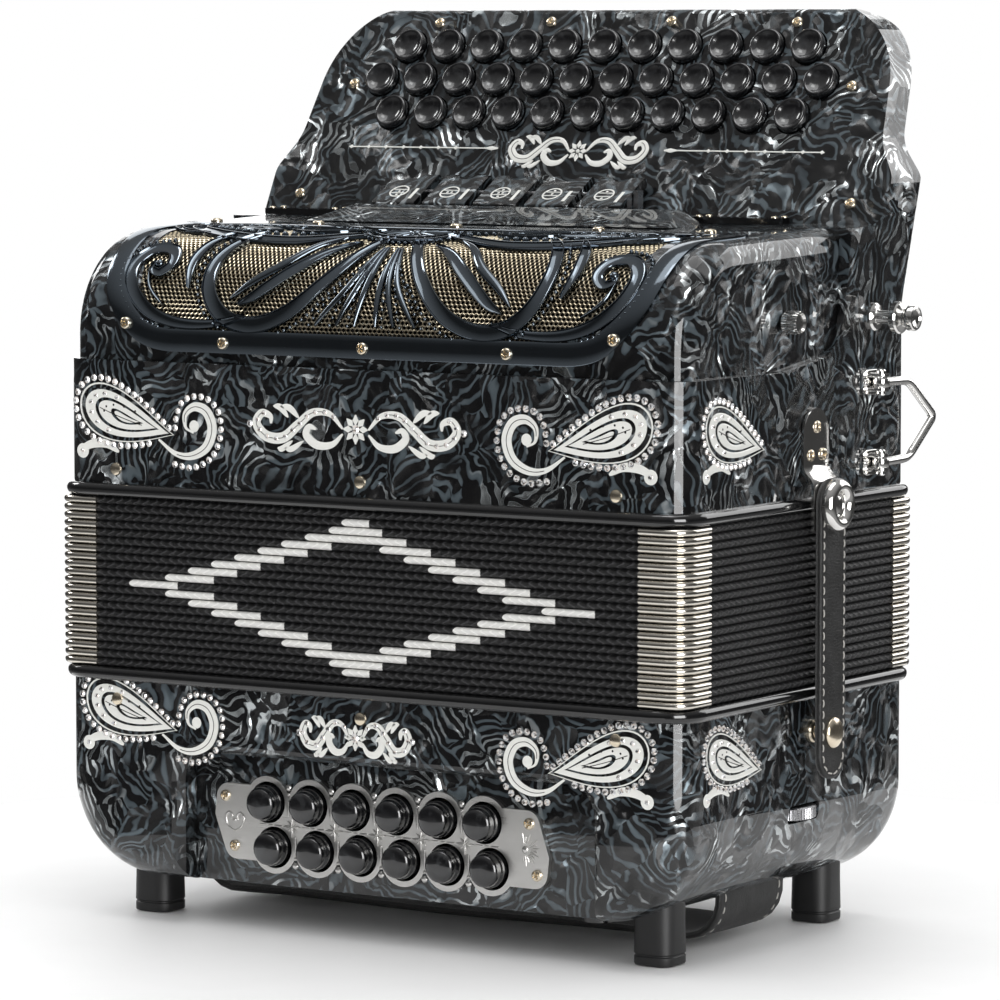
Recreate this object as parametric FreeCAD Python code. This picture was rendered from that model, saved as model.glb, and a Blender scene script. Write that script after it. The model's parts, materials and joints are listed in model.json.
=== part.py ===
"""Three-row diatonic button accordion, standing closed on its bass end.

Millimetres, +Z up.  X runs along the keyboard, -Y is the grille side and +Y the keyboard side.
Everything is modelled about the middle of the casing and moved by SHIFT_Y when it is written, so
that the origin lies on the floor under the middle of the whole instrument.
"""
import FreeCAD, Part
import math
import os

V = FreeCAD.Vector

# ---- driving dimensions ------------------------------------------------------------------------
CASE_W, CASE_D, CASE_R = 293.6, 181.2, 13.0    # casing plan size and corner radius
WALL = 5.0                                     # wooden walls
BASE_Z = 17.5                                  # underside of the bass casing
BASS_END_R = 40.0                              # big radius of the bass casing's end corners
BEAD = 5.5                                     # thickness of the rounded bellows frames
BASS_RIM, TREBLE_RIM = 97.25, 177.25           # where the casings meet the bellows frames
FRAME_W, FRAME_D = 299.6, 187.2                # outer size of the bellows frames
FRAME_BORE_W, FRAME_BORE_D = 271.0, 158.6      # opening through frames and bellows
LIP_H, LIP_T = 8.75, 5.3                       # frame lip inside each casing
FOLDS = 21                                     # bellows folds
BELLOWS_W, BELLOWS_D, BELLOWS_R = 296.4, 184.0, 9.0
FOLD_CREST = 1.3                               # depth of a fold's pointed outer edge
CORNER_LEG = 20.0                              # length of a metal bellows corner along each side
STEP_Z = 227.0                                 # top of the treble casing, foot of the grille cover
COVER_INSET, COVER_R, COVER_T = 3.0, 42.0, 3.0
COVER_TOP_FRONT, COVER_TOP_BACK = 278.0, 281.4
COVER_BACK_Y = 34.0                            # where the grille cover meets the keyboard unit
END_ROUND = 9.0                                # rounding of the grille cover's ends
LEAN = math.radians(26.41)                     # backward lean of the fingerboard
BOARD_Y, BOARD_Z = 57.1, 282.0                 # foot of the fingerboard's face
BOARD_TOP = 98.0                               # height of the fingerboard along its slope
LEAF_T, PLATE_T, CAVITY_N = 16.0, 3.0, 13.0    # keyboard leaf, its front plate, depth of its cavity
LEAF_EDGE_R = 5.0                              # rounding along the top of the keyboard leaf
BUTTON_PITCH, BUTTON_R, BUTTON_HOLE_R = 19.5, 7.5, 8.0
BUTTON_PROUD, BUTTON_SINK = 3.2, 2.5          # a button cap above and below the fingerboard's face
ROWS = ((78.45, 11), (62.86, 12), (47.32, 11))   # height on the slope, number of buttons
LEVER_OFFSETS = (3.2, 0.0, -3.2)               # sideways offset of each row's levers
LEVER_DEPTH = 7.2                              # levers run this far under the fingerboard's face
LEVER_HALF_W = 1.4                             # half the depth of a lever strip
PIVOT_V = 8.0                                  # lever pivots, along the slope
PIVOT_HALF = 125.0                             # half the length of the levers' pivot rod
KNEE = (50.0, 256.0)                           # bend of every lever below its pivot, Y and Z
FLARE_Z, SQUARE_Z = 250.0, 300.0               # rear corners: start and end of their sharpening
SHOULDER_W, SHARP_R = 300.4, 0.8               # width and corner radius at the end
SHOULDER_HALF, WAIST_HALF = 150.0, 141.5       # widest and narrowest places of the keyboard unit
TOP_HALF, TOP_R = 134.5, 37.0                  # top of the keyboard leaf and its corners
REAR_HALF = 132.0                              # half width of the space behind the grille cover
PALLET_YS = (-56.0, -26.0, 4.0)                # where each row's pallets sit on the soundboard
SOUNDBOARD_T = 4.0
BASS_PITCH = 20.6
BASS_ROWS = ((51.5, -0.2), (33.6, 3.1))        # height, sideways offset
BASS_BUTTON_R, BASS_HOLE_R, LOBE_R = 7.25, 8.4, 10.6
PANEL_Y = -79.0                                # face of the recessed bass button board
AIR_X, AIR_Y, AIR_R = 84.0, -48.0, 7.0         # air button through the bottom cover
STRAP_W, STRAP_T, STRAP_X, STRAP_Z = 50.0, 3.0, 124.0, 4.5
FOOT_X, FOOT_Y, FOOT_W, FOOT_R = 119.7, 61.3, 17.5, 6.0
SIDE_STRAP_Y, SIDE_STRAP_Z, SIDE_STRAP_X = 9.0, 174.3, 153.6
SNAP_Z = 84.5
BAIL_Y, BAIL_X, BAIL_ROD = 56.0, 151.2, 1.8
BAIL_EYES_Z = (219.5, 187.5)
PEG_Y, PEG_Z = 57.3, 245.4
WHEEL_X, WHEEL_Y, WHEEL_Z, WHEEL_R, WHEEL_T = 133.8, 3.4, 52.7, 16.0, 5.0
WHEEL_SLOT_H = 7.2                             # height of the thumbwheel's slot in the casing
BASS_REED_YS, BASS_REED_XS = (-44, 0, 44), range(-66, 67, 22)      # bass reed blocks and chambers
TREBLE_REED_YS = (-56, -26, 4, 34)             # treble reed blocks
BASS_REED_H, TREBLE_REED_H = 34, 38            # heights of the reed blocks
TAB_PITCH, TAB_X0, TAB_W = 25.2, -72.5, 21.0   # register tabs: spacing, first one, width
TAB_FRONT = (40.0, 288.0)                      # front edge of a tab's face, Y and Z
TAB_BACK = (61.0, 300.0)                       # back edge of a tab's face
TAB_AXLE, AXLE_R = (52.0, 292.2), 0.9          # axle that the tabs rock on
GAP = 0.1                                      # ordinary fitting gap
COVER_FACE = CASE_D / 2 - COVER_INSET          # the grille cover's front stands this far from the middle
GRILLE_BACK_Y, TOP_SCREW_Y = -17.0, -22.0      # rear edge of the grille, screws along it
FRONT_GRILLE_SCREWS = ((-115, 242), (-67, 235.2), (0, 235.2), (67, 235.2), (115, 242))
TOP_GRILLE_SCREWS = (-118, -67, 0, 67, 118)
BOARD_SCREWS = ((-86, 89.8), (-30, 90.2), (29, 90.4), (89, 89.8),
                (-121.5, 61), (121.5, 61), (-134, 9), (134, 9))
PLATE_SCREWS = ((-72.3, 52.8), (-67.8, 32.9), (72.3, 52.8), (76.0, 32.9))
BELLOWS_PIN_XS = (-119, 0, 117.5)              # pins that hold the bellows frames in the casings
KNOB_Y, KNOB_Z, KNOB_R = -9.5, 246.1, 4.5      # small knurled knob on the cover's +X side

SLOPE_UP = V(0, math.sin(LEAN), math.cos(LEAN))
SLOPE_OUT = V(0, -math.cos(LEAN), math.sin(LEAN))
REARMOST_Y = (BOARD_Y + (BOARD_TOP - LEAF_EDGE_R) * math.sin(LEAN)
              + (LEAF_T - LEAF_EDGE_R) * math.cos(LEAN) + LEAF_EDGE_R)
SHIFT_Y = -(REARMOST_Y - FRAME_D / 2) / 2
BELLOWS_Z0, BELLOWS_Z1 = BASS_RIM + BEAD, TREBLE_RIM - BEAD
FOLD_H = (BELLOWS_Z1 - BELLOWS_Z0) / FOLDS
BASS_BOARD_Z = BASS_RIM - LIP_H - SOUNDBOARD_T
TREBLE_BOARD_Z = TREBLE_RIM + LIP_H


# ---- helpers -------------------------------------------------------------------------------------
def rounded_wire(corners, to_3d):
    """Closed wire through (a, b, radius) corners; to_3d turns (a, b) into a point."""
    points = [V(a, b, 0) for a, b, _ in corners]
    edges, ends = [], []
    for i, (_, _, radius) in enumerate(corners):
        here = points[i]
        back = (points[i - 1] - here).normalize()
        ahead = (points[(i + 1) % len(points)] - here).normalize()
        half = math.acos(max(-1.0, min(1.0, back.dot(ahead)))) / 2
        if radius <= 0:
            ends.append((here, here, None))
            continue
        reach = radius / math.tan(half)
        middle = here + (back + ahead).normalize() * (radius / math.sin(half) - radius)
        ends.append((here + back * reach, here + ahead * reach, middle))
    for i, (first, last, middle) in enumerate(ends):
        if middle is not None:
            arc = [to_3d(p.x, p.y) for p in (first, middle, last)]
            edges.append(Part.Arc(*arc).toShape())
        following = ends[(i + 1) % len(ends)][0]
        if (following - last).Length > 1e-6:
            edges.append(Part.makeLine(to_3d(last.x, last.y), to_3d(following.x, following.y)))
    return Part.Wire(edges)


def prism_x(corners, x0, x1):
    """Extrude a (y, z, radius) outline from x0 to x1."""
    return Part.Face(rounded_wire(corners, lambda y, z: V(x0, y, z))).extrude(V(x1 - x0, 0, 0))


def prism_y(corners, y0, y1):
    """Extrude an (x, z, radius) outline from y0 to y1."""
    return Part.Face(rounded_wire(corners, lambda x, z: V(x, y0, z))).extrude(V(0, y1 - y0, 0))


def prism_z(corners, z0, z1):
    """Extrude an (x, y, radius) outline from z0 to z1."""
    return Part.Face(rounded_wire(corners, lambda x, y: V(x, y, z0))).extrude(V(0, 0, z1 - z0))


def box(x0, x1, y0, y1, z0, z1):
    return Part.makeBox(x1 - x0, y1 - y0, z1 - z0, V(x0, y0, z0))


def plan_block(width, depth, radius, z0, z1, x=0.0, y=0.0):
    """Upright block with rounded vertical corners, centred on (x, y)."""
    w, d = width / 2, depth / 2
    corners = [(x - w, y - d, radius), (x + w, y - d, radius),
               (x + w, y + d, radius), (x - w, y + d, radius)]
    return prism_z(corners, z0, z1)


def mirrored(corners):
    """Outline whose left half repeats its right half, given as corners with x > 0."""
    return corners + [(-a, b, r) for a, b, r in reversed(corners)]


def rod(radius, start, end):
    return Part.makeCylinder(radius, (end - start).Length, start, end - start)


def screw(head_r, head_h, shank_r, depth, seat, out):
    """Dome-headed screw: its head stands on seat and points along out."""
    out = V(out).normalize()
    ball_r = (head_r ** 2 + head_h ** 2) / (2 * head_h)
    ball = Part.makeSphere(ball_r, seat + out * (head_h - ball_r))
    head = ball.common(rod(head_r, seat, seat + out * (head_h + 1)))
    return head.fuse(rod(shank_r, seat - out * depth, seat + out * 0.2)).removeSplitter()


def on_board(shape):
    """Move a shape drawn as (x, up the slope, out of the face) onto the fingerboard."""
    moved = shape.copy()
    turn = FreeCAD.Rotation(V(1, 0, 0), 90 - math.degrees(LEAN))
    moved.Placement = FreeCAD.Placement(V(0, BOARD_Y, BOARD_Z), turn).multiply(moved.Placement)
    return moved


def board_point(x, v, n):
    return V(x, BOARD_Y, BOARD_Z) + SLOPE_UP * v + SLOPE_OUT * n


def other_side(shape):
    """The same piece on the other (-X) side."""
    return shape.mirror(V(0, 0, 0), V(1, 0, 0))


def both_sides(shape):
    return [shape, other_side(shape)]


def near(edge, test):
    """True when both ends and the middle of an edge pass the test."""
    first, last = edge.FirstParameter, edge.LastParameter
    return all(test(edge.valueAt(t)) for t in (first, (first + last) / 2, last))


def bored(shape, cutters):
    return shape.cut(cutters[0].multiFuse(cutters[1:]) if len(cutters) > 1 else cutters[0])


NODES = {}


def keep(name, *solids):
    """File solids under a node's name."""
    NODES.setdefault(name, []).extend(solids)


# ---- bass end --------------------------------------------------------------------------------------
def bass_form(inset, top):
    """Box with big end corners and rounded long edges, smaller by inset on every side."""
    half, base = CASE_W / 2 - inset, BASE_Z + inset
    r = BASS_END_R - inset
    outline = [(-half, top, 0), (-half, base, r), (half, base, r), (half, top, 0)]
    edge_y = CASE_D / 2 - inset
    form = prism_y(outline, -edge_y, edge_y)
    rims = [e for e in form.Edges
            if near(e, lambda p: abs(abs(p.y) - edge_y) < 1e-4) and not near(e, lambda p: p.z > top - 1e-4)]
    return form.makeFillet(CASE_R - inset, rims)


def recess_outline(grow):
    left, right, top = -88.0 - grow, 105.0 + grow, 70.0 + grow
    return [(left, 5, 0), (right, 5, 0), (right, top, 12 + grow), (left, top, 12 + grow)]


def recess_tool():
    """Recess for the bass buttons, with a mouth that flares in two steps."""
    face = -CASE_D / 2
    stations = ((face - 1.5, 6.5), (face + 1.2, 2.4), (face + 4.5, 0.5), (PANEL_Y + 2, 0.0))
    wires = [rounded_wire(recess_outline(grow), lambda x, z, at=at: V(x, at, z)) for at, grow in stations]
    return Part.makeLoft(wires, True, True)


def bass_button_spots():
    spots = []
    for z, offset in BASS_ROWS:
        spots += [(offset + BASS_PITCH * (i - 2.5), z) for i in range(6)]
    return spots


def bass_plate_outline(grow):
    """Scalloped plate: a lobe round every button and a tongue at each end."""
    y0, y1 = PANEL_Y - 2, PANEL_Y
    lobes = [rod(LOBE_R + grow, V(x, y0, z), V(x, y1, z)) for x, z in bass_button_spots()]
    middle = prism_y([(-66, 36, 2), (70, 36, 2), (66, 50, 2), (-62, 50, 2)], y0, y1)
    left = prism_y([(-77.5, 45, 3), (-71, 27.5, 6), (-50, 27.5, 6), (-50, 58, 6), (-76, 58, 6)], y0, y1)
    right = prism_y([(81.5, 40, 3), (75.5, 58, 6), (55, 58, 6), (55, 27.5, 6), (80, 27.5, 6)], y0, y1)
    return lobes[0].multiFuse(lobes[1:] + [middle, left, right]).removeSplitter()


def make_bass_end():
    body = bass_form(0, BASS_RIM).cut(recess_tool())
    hollow = bass_form(WALL, BASS_RIM + 10).cut(prism_y(recess_outline(4), -CASE_D, PANEL_Y + 6))
    casing = body.cut(hollow)
    window = [(-70, 22, 4), (74, 22, 4), (74, 62, 4), (-70, 62, 4)]
    casing = casing.cut(prism_y(window, PANEL_Y - 5, PANEL_Y + 8))
    casing = casing.cut(plan_block(200 + GAP, 140 + GAP, 8, BASE_Z - 1, BASE_Z + WALL + 1))
    for side in (-1, 1):
        x, half_slot = side * STRAP_X, STRAP_W / 2 + 1
        casing = casing.cut(box(x - 2.6, x + 2.6, -half_slot, half_slot, BASE_Z - 1, BASE_Z + 16))
    low, high = WHEEL_Z - WHEEL_SLOT_H / 2, WHEEL_Z + WHEEL_SLOT_H / 2
    slot = [(WHEEL_Y - 12, low, 2), (WHEEL_Y + 12, low, 2), (WHEEL_Y + 12, high, 2), (WHEEL_Y - 12, high, 2)]
    inside = CASE_W / 2 - WALL - 1
    casing = casing.cut(prism_x(slot, inside, CASE_W / 2 + 1))
    casing = casing.cut(box(inside, CASE_W / 2 - 1.5, WHEEL_Y - 15, WHEEL_Y + 15, low, high))
    board = prism_y(recess_outline(-GAP), PANEL_Y, PANEL_Y + 2).common(bass_form(0.5, BASS_RIM))
    board = bored(board, [rod(BASS_HOLE_R, V(x, PANEL_Y - 1, z), V(x, PANEL_Y + 3, z))
                          for x, z in bass_button_spots()])
    cover = plan_block(200 - GAP, 140 - GAP, 8, BASE_Z, BASE_Z + 3)
    cover = cover.cut(rod(AIR_R + 0.2, V(AIR_X, AIR_Y, BASE_Z - 1), V(AIR_X, AIR_Y, BASE_Z + 4)))
    blocks = []
    for x in (-101.5, 101.5):
        blocks += [box(x - 5, x + 5, y - 8, y + 8, BASE_Z + 3, BASE_Z + WALL) for y in (-40, 40)]
    casing = casing.multiFuse([b.common(bass_form(0.2, BASS_RIM)) for b in blocks]).removeSplitter()
    plate = bored(bass_plate_outline(0), [rod(BASS_HOLE_R, V(x, PANEL_Y - 4, z), V(x, PANEL_Y + 2, z))
                                          for x, z in bass_button_spots()])
    for x, z in PLATE_SCREWS:
        piece = screw(2.4, 1.2, 1.0, 4.0, V(x, PANEL_Y - 2, z), V(0, -1, 0))
        keep("bass_fasteners", piece)
        hole = rod(1.0 + GAP / 2, V(x, PANEL_Y - 3, z), V(x, PANEL_Y + 3, z))
        plate, board, casing = plate.cut(hole), board.cut(hole), casing.cut(hole)
    keep("bass_button_board", board)
    keep("bass_button_plate", plate)
    for i, (x, z) in enumerate(bass_button_spots()):
        cap = rod(BASS_BUTTON_R, V(x, PANEL_Y + 6, z), V(x, PANEL_Y - 9, z))
        dome = Part.makeSphere(14.0, V(x, PANEL_Y - 10 + 14.0, z))
        cap = cap.common(dome.fuse(rod(20, V(x, PANEL_Y - 4, z), V(x, PANEL_Y + 10, z))))
        stem = rod(2.5, V(x, PANEL_Y + 6, z), V(x, PANEL_Y + 16, z))
        keep("bass_button_%02d" % (i + 1), cap.fuse(stem).removeSplitter())
    keep("bass_cover", cover)
    air = rod(AIR_R, V(AIR_X, AIR_Y, BASE_Z - 6), V(AIR_X, AIR_Y, BASE_Z + 5))
    air = air.fuse(rod(AIR_R + 2, V(AIR_X, AIR_Y, BASE_Z + 4), V(AIR_X, AIR_Y, BASE_Z + 7)))
    keep("air_button", air.removeSplitter())
    for x in (-FOOT_X, FOOT_X):
        for y in (-FOOT_Y, FOOT_Y):
            foot = plan_block(FOOT_W, FOOT_W, FOOT_R, 0, 30, x, y)
            foot = foot.makeFillet(1.8, [e for e in foot.Edges if near(e, lambda p: p.z < 1e-4)])
            foot = foot.cut(bass_form(0, BASS_RIM)).cut(rod(4.2, V(x, y, -1), V(x, y, 6)))
            hole = rod(2.0 + GAP / 2, V(x, y, 0), V(x, y, 32))
            casing = casing.cut(hole)
            keep("rubber_feet", foot.cut(hole))
            keep("bass_fasteners", rod(3.8, V(x, y, 3), V(x, y, 6)).fuse(rod(2.0, V(x, y, 6), V(x, y, 27))))
    keep("bass_casing", casing)
    make_bass_inside()
    make_hand_strap()


def make_bass_inside():
    inner_w, inner_d = CASE_W - 2 * WALL - GAP, CASE_D - 2 * WALL - GAP
    board = plan_block(inner_w, inner_d, CASE_R - WALL, BASS_BOARD_Z, BASS_BOARD_Z + SOUNDBOARD_T)
    top = BASS_BOARD_Z + SOUNDBOARD_T
    for y in BASS_REED_YS:
        board = bored(board, [box(x - 5, x + 5, y - 6, y + 6, BASS_BOARD_Z - 1, top + 1)
                              for x in BASS_REED_XS])
        block = box(-84, 84, y - 9, y + 9, top, top + BASS_REED_H)
        chambers = [box(x - 7, x + 7, y - 7, y + 7, top - 1, top + BASS_REED_H - 4) for x in BASS_REED_XS]
        keep("bass_reed_blocks", bored(block, chambers))
        for side in (-1, 1):
            near_y, far_y = sorted((y + side * 9, y + side * 10))
            for x in BASS_REED_XS:
                keep("bass_reed_plates", box(x - 8.5, x + 8.5, near_y, far_y, top + 3, top + 29))
    keep("bass_soundboard", board)


def make_hand_strap():
    """Leather hand strap, slack under the bass end, with its screw adjuster at the +X end."""
    x, half, top = STRAP_X, STRAP_T / 2, 38.0
    outer = [(-x - half, top, 0), (-x - half, STRAP_Z - half, 13.5), (x + half, STRAP_Z - half, 13.5),
             (x + half, top, 0)]
    inner = [(x - half, top, 0), (x - half, STRAP_Z + half, 10.5), (-x + half, STRAP_Z + half, 10.5),
             (-x + half, top, 0)]
    keep("bass_strap", prism_y(outer + inner, -STRAP_W / 2, STRAP_W / 2))
    keep("strap_clamps", box(-x - half - 5, -x - half - GAP, -20, 20, 33, 46).fuse(
        box(-x - half - GAP, -x + half + 2, -20, 20, top + GAP, 46)))
    wheel = Part.makeCylinder(WHEEL_R, WHEEL_T, V(WHEEL_X, WHEEL_Y, WHEEL_Z - WHEEL_T / 2))
    wheel = wheel.makeFillet(0.6, wheel.Edges[:1] + wheel.Edges[2:])
    shaft = Part.makeCylinder(3.0, 40.3, V(WHEEL_X, WHEEL_Y, 42.5))
    keep("strap_wheel", wheel.fuse(shaft).removeSplitter())
    shaft_hole = Part.makeCylinder(3.06, 60, V(WHEEL_X, WHEEL_Y, 35))
    bracket = box(112, 114, WHEEL_Y - 16, WHEEL_Y + 16, 42, 83)
    for z in (42.0, 81.0):
        bracket = bracket.fuse(box(112, 137.5, WHEEL_Y - 16, WHEEL_Y + 16, z, z + 2))
    keep("strap_clamps", bracket.cut(shaft_hole).removeSplitter())
    nut = box(119, 140, WHEEL_Y - 12, WHEEL_Y + 12, 60, 68)
    keep("strap_nut", nut.cut(shaft_hole))


# ---- bellows -----------------------------------------------------------------------------------------
def frame_ring(bead_z, lip_z):
    """Bellows frame: a rounded bead outside and a lip that fits inside the casing."""
    ring = plan_block(FRAME_W, FRAME_D, CASE_R + 3, bead_z, bead_z + BEAD)
    ring = ring.makeFillet(BEAD / 2 - 0.05, [e for e in ring.Edges if abs(e.CenterOfMass.z - bead_z) < 1e-4
                                             or abs(e.CenterOfMass.z - bead_z - BEAD) < 1e-4])
    lip_w, lip_d = CASE_W - 2 * WALL - GAP, CASE_D - 2 * WALL - GAP
    lip = plan_block(lip_w, lip_d, CASE_R - WALL, lip_z, lip_z + LIP_H)
    bore_w, bore_d = FRAME_BORE_W, FRAME_BORE_D
    bore = plan_block(bore_w, bore_d, 4, min(bead_z, lip_z) - 1, max(bead_z + BEAD, lip_z + LIP_H) + 1)
    return ring.fuse(lip).cut(bore).removeSplitter()


def fold(z):
    """One bellows fold: a ring with a pointed outer edge."""
    ring = plan_block(BELLOWS_W, BELLOWS_D, BELLOWS_R, z, z + FOLD_H)
    outer = [e for e in ring.Edges
             if abs(e.CenterOfMass.z - z) < 1e-4 or abs(e.CenterOfMass.z - z - FOLD_H) < 1e-4]
    ring = ring.makeChamfer(FOLD_CREST, outer)
    return ring.cut(plan_block(FRAME_BORE_W, FRAME_BORE_D, 4, z - 1, z + FOLD_H + 1))


def corner_cap(z):
    """Metal cap over one fold's corner."""
    grow = 0.45
    shell = plan_block(BELLOWS_W + 2 * grow, BELLOWS_D + 2 * grow, BELLOWS_R + grow,
                       z + 0.35, z + FOLD_H - 0.35)
    shell = shell.cut(plan_block(BELLOWS_W + GAP / 2, BELLOWS_D + GAP / 2, BELLOWS_R, z - 1, z + FOLD_H + 1))
    reach = box(BELLOWS_W / 2 - CORNER_LEG, BELLOWS_W / 2 + 1, BELLOWS_D / 2 - CORNER_LEG, BELLOWS_D / 2 + 1,
                z, z + FOLD_H)
    return shell.common(reach)


def make_bellows():
    lower = frame_ring(BASS_RIM, BASS_RIM - LIP_H)
    upper = frame_ring(TREBLE_RIM - BEAD, TREBLE_RIM)
    folds = [fold(BELLOWS_Z0 + i * FOLD_H) for i in range(FOLDS)]
    keep("bellows", folds[0].multiFuse(folds[1:]).removeSplitter())
    for i in range(FOLDS):
        cap = corner_cap(BELLOWS_Z0 + i * FOLD_H)
        for quarter in both_sides(cap):
            keep("bellows_corners", quarter, quarter.mirror(V(0, 0, 0), V(0, 1, 0)))
    for name, z in (("bass_fasteners", BASS_RIM - 7.5), ("treble_fasteners", TREBLE_RIM + 5.75)):
        for side in (-1, 1):
            for x in BELLOWS_PIN_XS:
                seat = V(x, side * CASE_D / 2, z)
                pin = screw(2.6, 1.4, 1.1, WALL + 3.5, seat, V(0, side, 0))
                hole = rod(1.1 + GAP / 2, seat + V(0, side, 0), seat - V(0, side * 12, 0))
                casing = "bass_casing" if name.startswith("bass") else "treble_casing"
                NODES[casing] = [NODES[casing][0].cut(hole)]
                if name.startswith("bass"):
                    lower = lower.cut(hole)
                else:
                    upper = upper.cut(hole)
                keep(name, pin)
    keep("bass_bellows_frame", lower)
    keep("treble_bellows_frame", upper)


# ---- treble end ----------------------------------------------------------------------------------------
def unit_front():
    """Front view of treble casing and keyboard: flared shoulders, big top corners."""
    top = BOARD_Z + BOARD_TOP * math.cos(LEAN)
    return mirrored([(CASE_W / 2, 170, 0), (CASE_W / 2, 248, 30), (SHOULDER_HALF, 284, 30),
                     (SHOULDER_HALF, 301, 9), (WAIST_HALF, 314, 22), (TOP_HALF, top, TOP_R)])


def unit_side():
    """Side view of the keyboard unit: sweep up from the casing, top strip, leaning leaf."""
    top_front = board_point(0, BOARD_TOP, 0)
    top_back = board_point(0, BOARD_TOP, -LEAF_T)
    back = CASE_D / 2
    knee_z = BOARD_Z + (math.cos(LEAN) * (back - BOARD_Y) - LEAF_T) / math.sin(LEAN)
    return [(back, STEP_Z - 20, 0), (-12, STEP_Z - 20, 0), (-12, STEP_Z, 0),
            (COVER_BACK_Y, STEP_Z + 6, 22), (COVER_BACK_Y, COVER_TOP_BACK, 0), (BOARD_Y, BOARD_Z, 0),
            (top_front.y, top_front.z, LEAF_EDGE_R), (top_back.y, top_back.z, LEAF_EDGE_R),
            (back, knee_z, 25)]


def cover_side(inset):
    """Side view of the grille cover: upright front, big round edge, gently rising top."""
    front = -CASE_D / 2 + COVER_INSET + inset
    return [(COVER_BACK_Y - GAP, STEP_Z + 6, 22), (COVER_BACK_Y - GAP, COVER_TOP_BACK - inset, 0),
            (front, COVER_TOP_FRONT - 1 - inset, COVER_R - inset), (front, STEP_Z + GAP, 0),
            (-12, STEP_Z + GAP, 0)]


def cover_form(inset):
    form = prism_x(cover_side(inset), -CASE_W / 2 + COVER_INSET + inset, CASE_W / 2 - COVER_INSET - inset)
    ends = CASE_W / 2 - COVER_INSET - inset
    rims = [e for e in form.Edges if near(e, lambda p: abs(abs(p.x) - ends) < 1e-4)
            and not near(e, lambda p: p.y > COVER_BACK_Y - 1) and not near(e, lambda p: p.z < STEP_Z + 1)
            and not near(e, lambda p: p.z < COVER_TOP_FRONT - 20 and p.y > -30)]
    return form.makeFillet(END_ROUND - inset, rims)


def grille_window(grow):
    """Prism through the grille opening, seen from the front."""
    g = grow
    outline = mirrored([(101 + g, 231.2 - g, 18), (120 + g, 243 - g, 14), (134 + g, 300, 0)])
    return prism_y(outline, -CASE_D, GRILLE_BACK_Y + g)


def plate_outline(grow):
    g = grow
    return mirrored([(139 + g, 1.5 - g, 0), (136.5 + g, 17, 10), (127.5 + g, 30, 15),
                     (121.5 + g, 94.0 + g, 27 + g)])


def treble_button_xs(row):
    count = ROWS[row][1]
    return [BUTTON_PITCH * (i - (count - 1) / 2) for i in range(count)]


def rear_form():
    """Block with round rear corners that widen with the shoulders and turn square under the leaf."""
    stations = ((STEP_Z - 21, CASE_W, CASE_R), (FLARE_Z, CASE_W, CASE_R), (SQUARE_Z, SHOULDER_W, SHARP_R))
    wires = []
    for z, width, radius in stations:
        w, d = width / 2, CASE_D / 2
        corners = [(-w, -d, radius), (w, -d, radius), (w, d, radius), (-w, d, radius)]
        wires.append(rounded_wire(corners, lambda x, y, z=z: V(x, y, z)))
    block = Part.makeLoft(wires, True, True)
    return block.fuse(box(-160, 160, 0, 140, SQUARE_Z, 400))


def make_treble_casing():
    lower = plan_block(CASE_W, CASE_D, CASE_R, TREBLE_RIM, STEP_Z)
    unit = prism_y(unit_front(), -20, 140).common(prism_x(unit_side(), -160, 160))
    unit = unit.common(rear_form().fuse(box(-160, 160, 20, 75, 200, 400)))
    casing = lower.fuse(unit).removeSplitter()
    inner_w, inner_d = CASE_W - 2 * WALL, CASE_D - 2 * WALL
    casing = casing.cut(plan_block(inner_w, inner_d, CASE_R - WALL, TREBLE_RIM - 1, STEP_Z + 1))
    rise = [(-14, STEP_Z - 25, 0), (-14, COVER_TOP_BACK + 20, 0), (COVER_BACK_Y + 1, COVER_TOP_BACK + 20, 0),
            (COVER_BACK_Y + 1, STEP_Z - 25, 0)]
    casing = casing.cut(prism_x(rise, -CASE_W / 2 + COVER_INSET - GAP, CASE_W / 2 - COVER_INSET + GAP))
    high = board_point(0, 20, -PLATE_T)
    rear = [(COVER_BACK_Y - 2, STEP_Z - 25, 0), (COVER_BACK_Y - 2, COVER_TOP_BACK - 4, 0),
            (BOARD_Y - 0.5, COVER_TOP_BACK - 4, 0), (high.y, high.z, 0), (CASE_D / 2 - 4, high.z + 4, 0),
            (CASE_D / 2 - 4, STEP_Z - 25, 0)]
    casing = casing.cut(prism_x(rear, -REAR_HALF, REAR_HALF))
    leaf = [(-118, -6, 0), (118, -6, 0), (118, 87.4, 20), (-118, 87.4, 20)]
    casing = casing.cut(on_board(prism_z(leaf, -CAVITY_N, -PLATE_T + 0.5)))
    casing = casing.cut(on_board(prism_z(plate_outline(GAP), -PLATE_T, 5)))
    board = plan_block(inner_w - GAP, inner_d - GAP, CASE_R - WALL, TREBLE_BOARD_Z,
                       TREBLE_BOARD_Z + SOUNDBOARD_T)
    for row, pallet_y in enumerate(PALLET_YS):
        board = bored(board, [box(x - 4, x + 4, pallet_y - 7, pallet_y + 7, TREBLE_BOARD_Z - 1,
                                  TREBLE_BOARD_Z + SOUNDBOARD_T + 1) for x in treble_button_xs(row)])
    keep("treble_casing", casing)
    keep("treble_soundboard", board)
    xs = [BUTTON_PITCH * i for i in range(-5, 6)]
    top, low = TREBLE_BOARD_Z, TREBLE_BOARD_Z - TREBLE_REED_H
    for y in TREBLE_REED_YS:
        block = box(-118, 118, y - 8, y + 8, low, top)
        chambers = [box(x - 6.5, x + 6.5, y - 6, y + 6, low + 4, top + 1) for x in xs]
        keep("treble_reed_blocks", bored(block, chambers))
        for side in (-1, 1):
            near_y, far_y = sorted((y + side * 8, y + side * 9))
            for x in xs:
                keep("treble_reed_plates", box(x - 7.5, x + 7.5, near_y, far_y, low + 5, top - 5))


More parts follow.
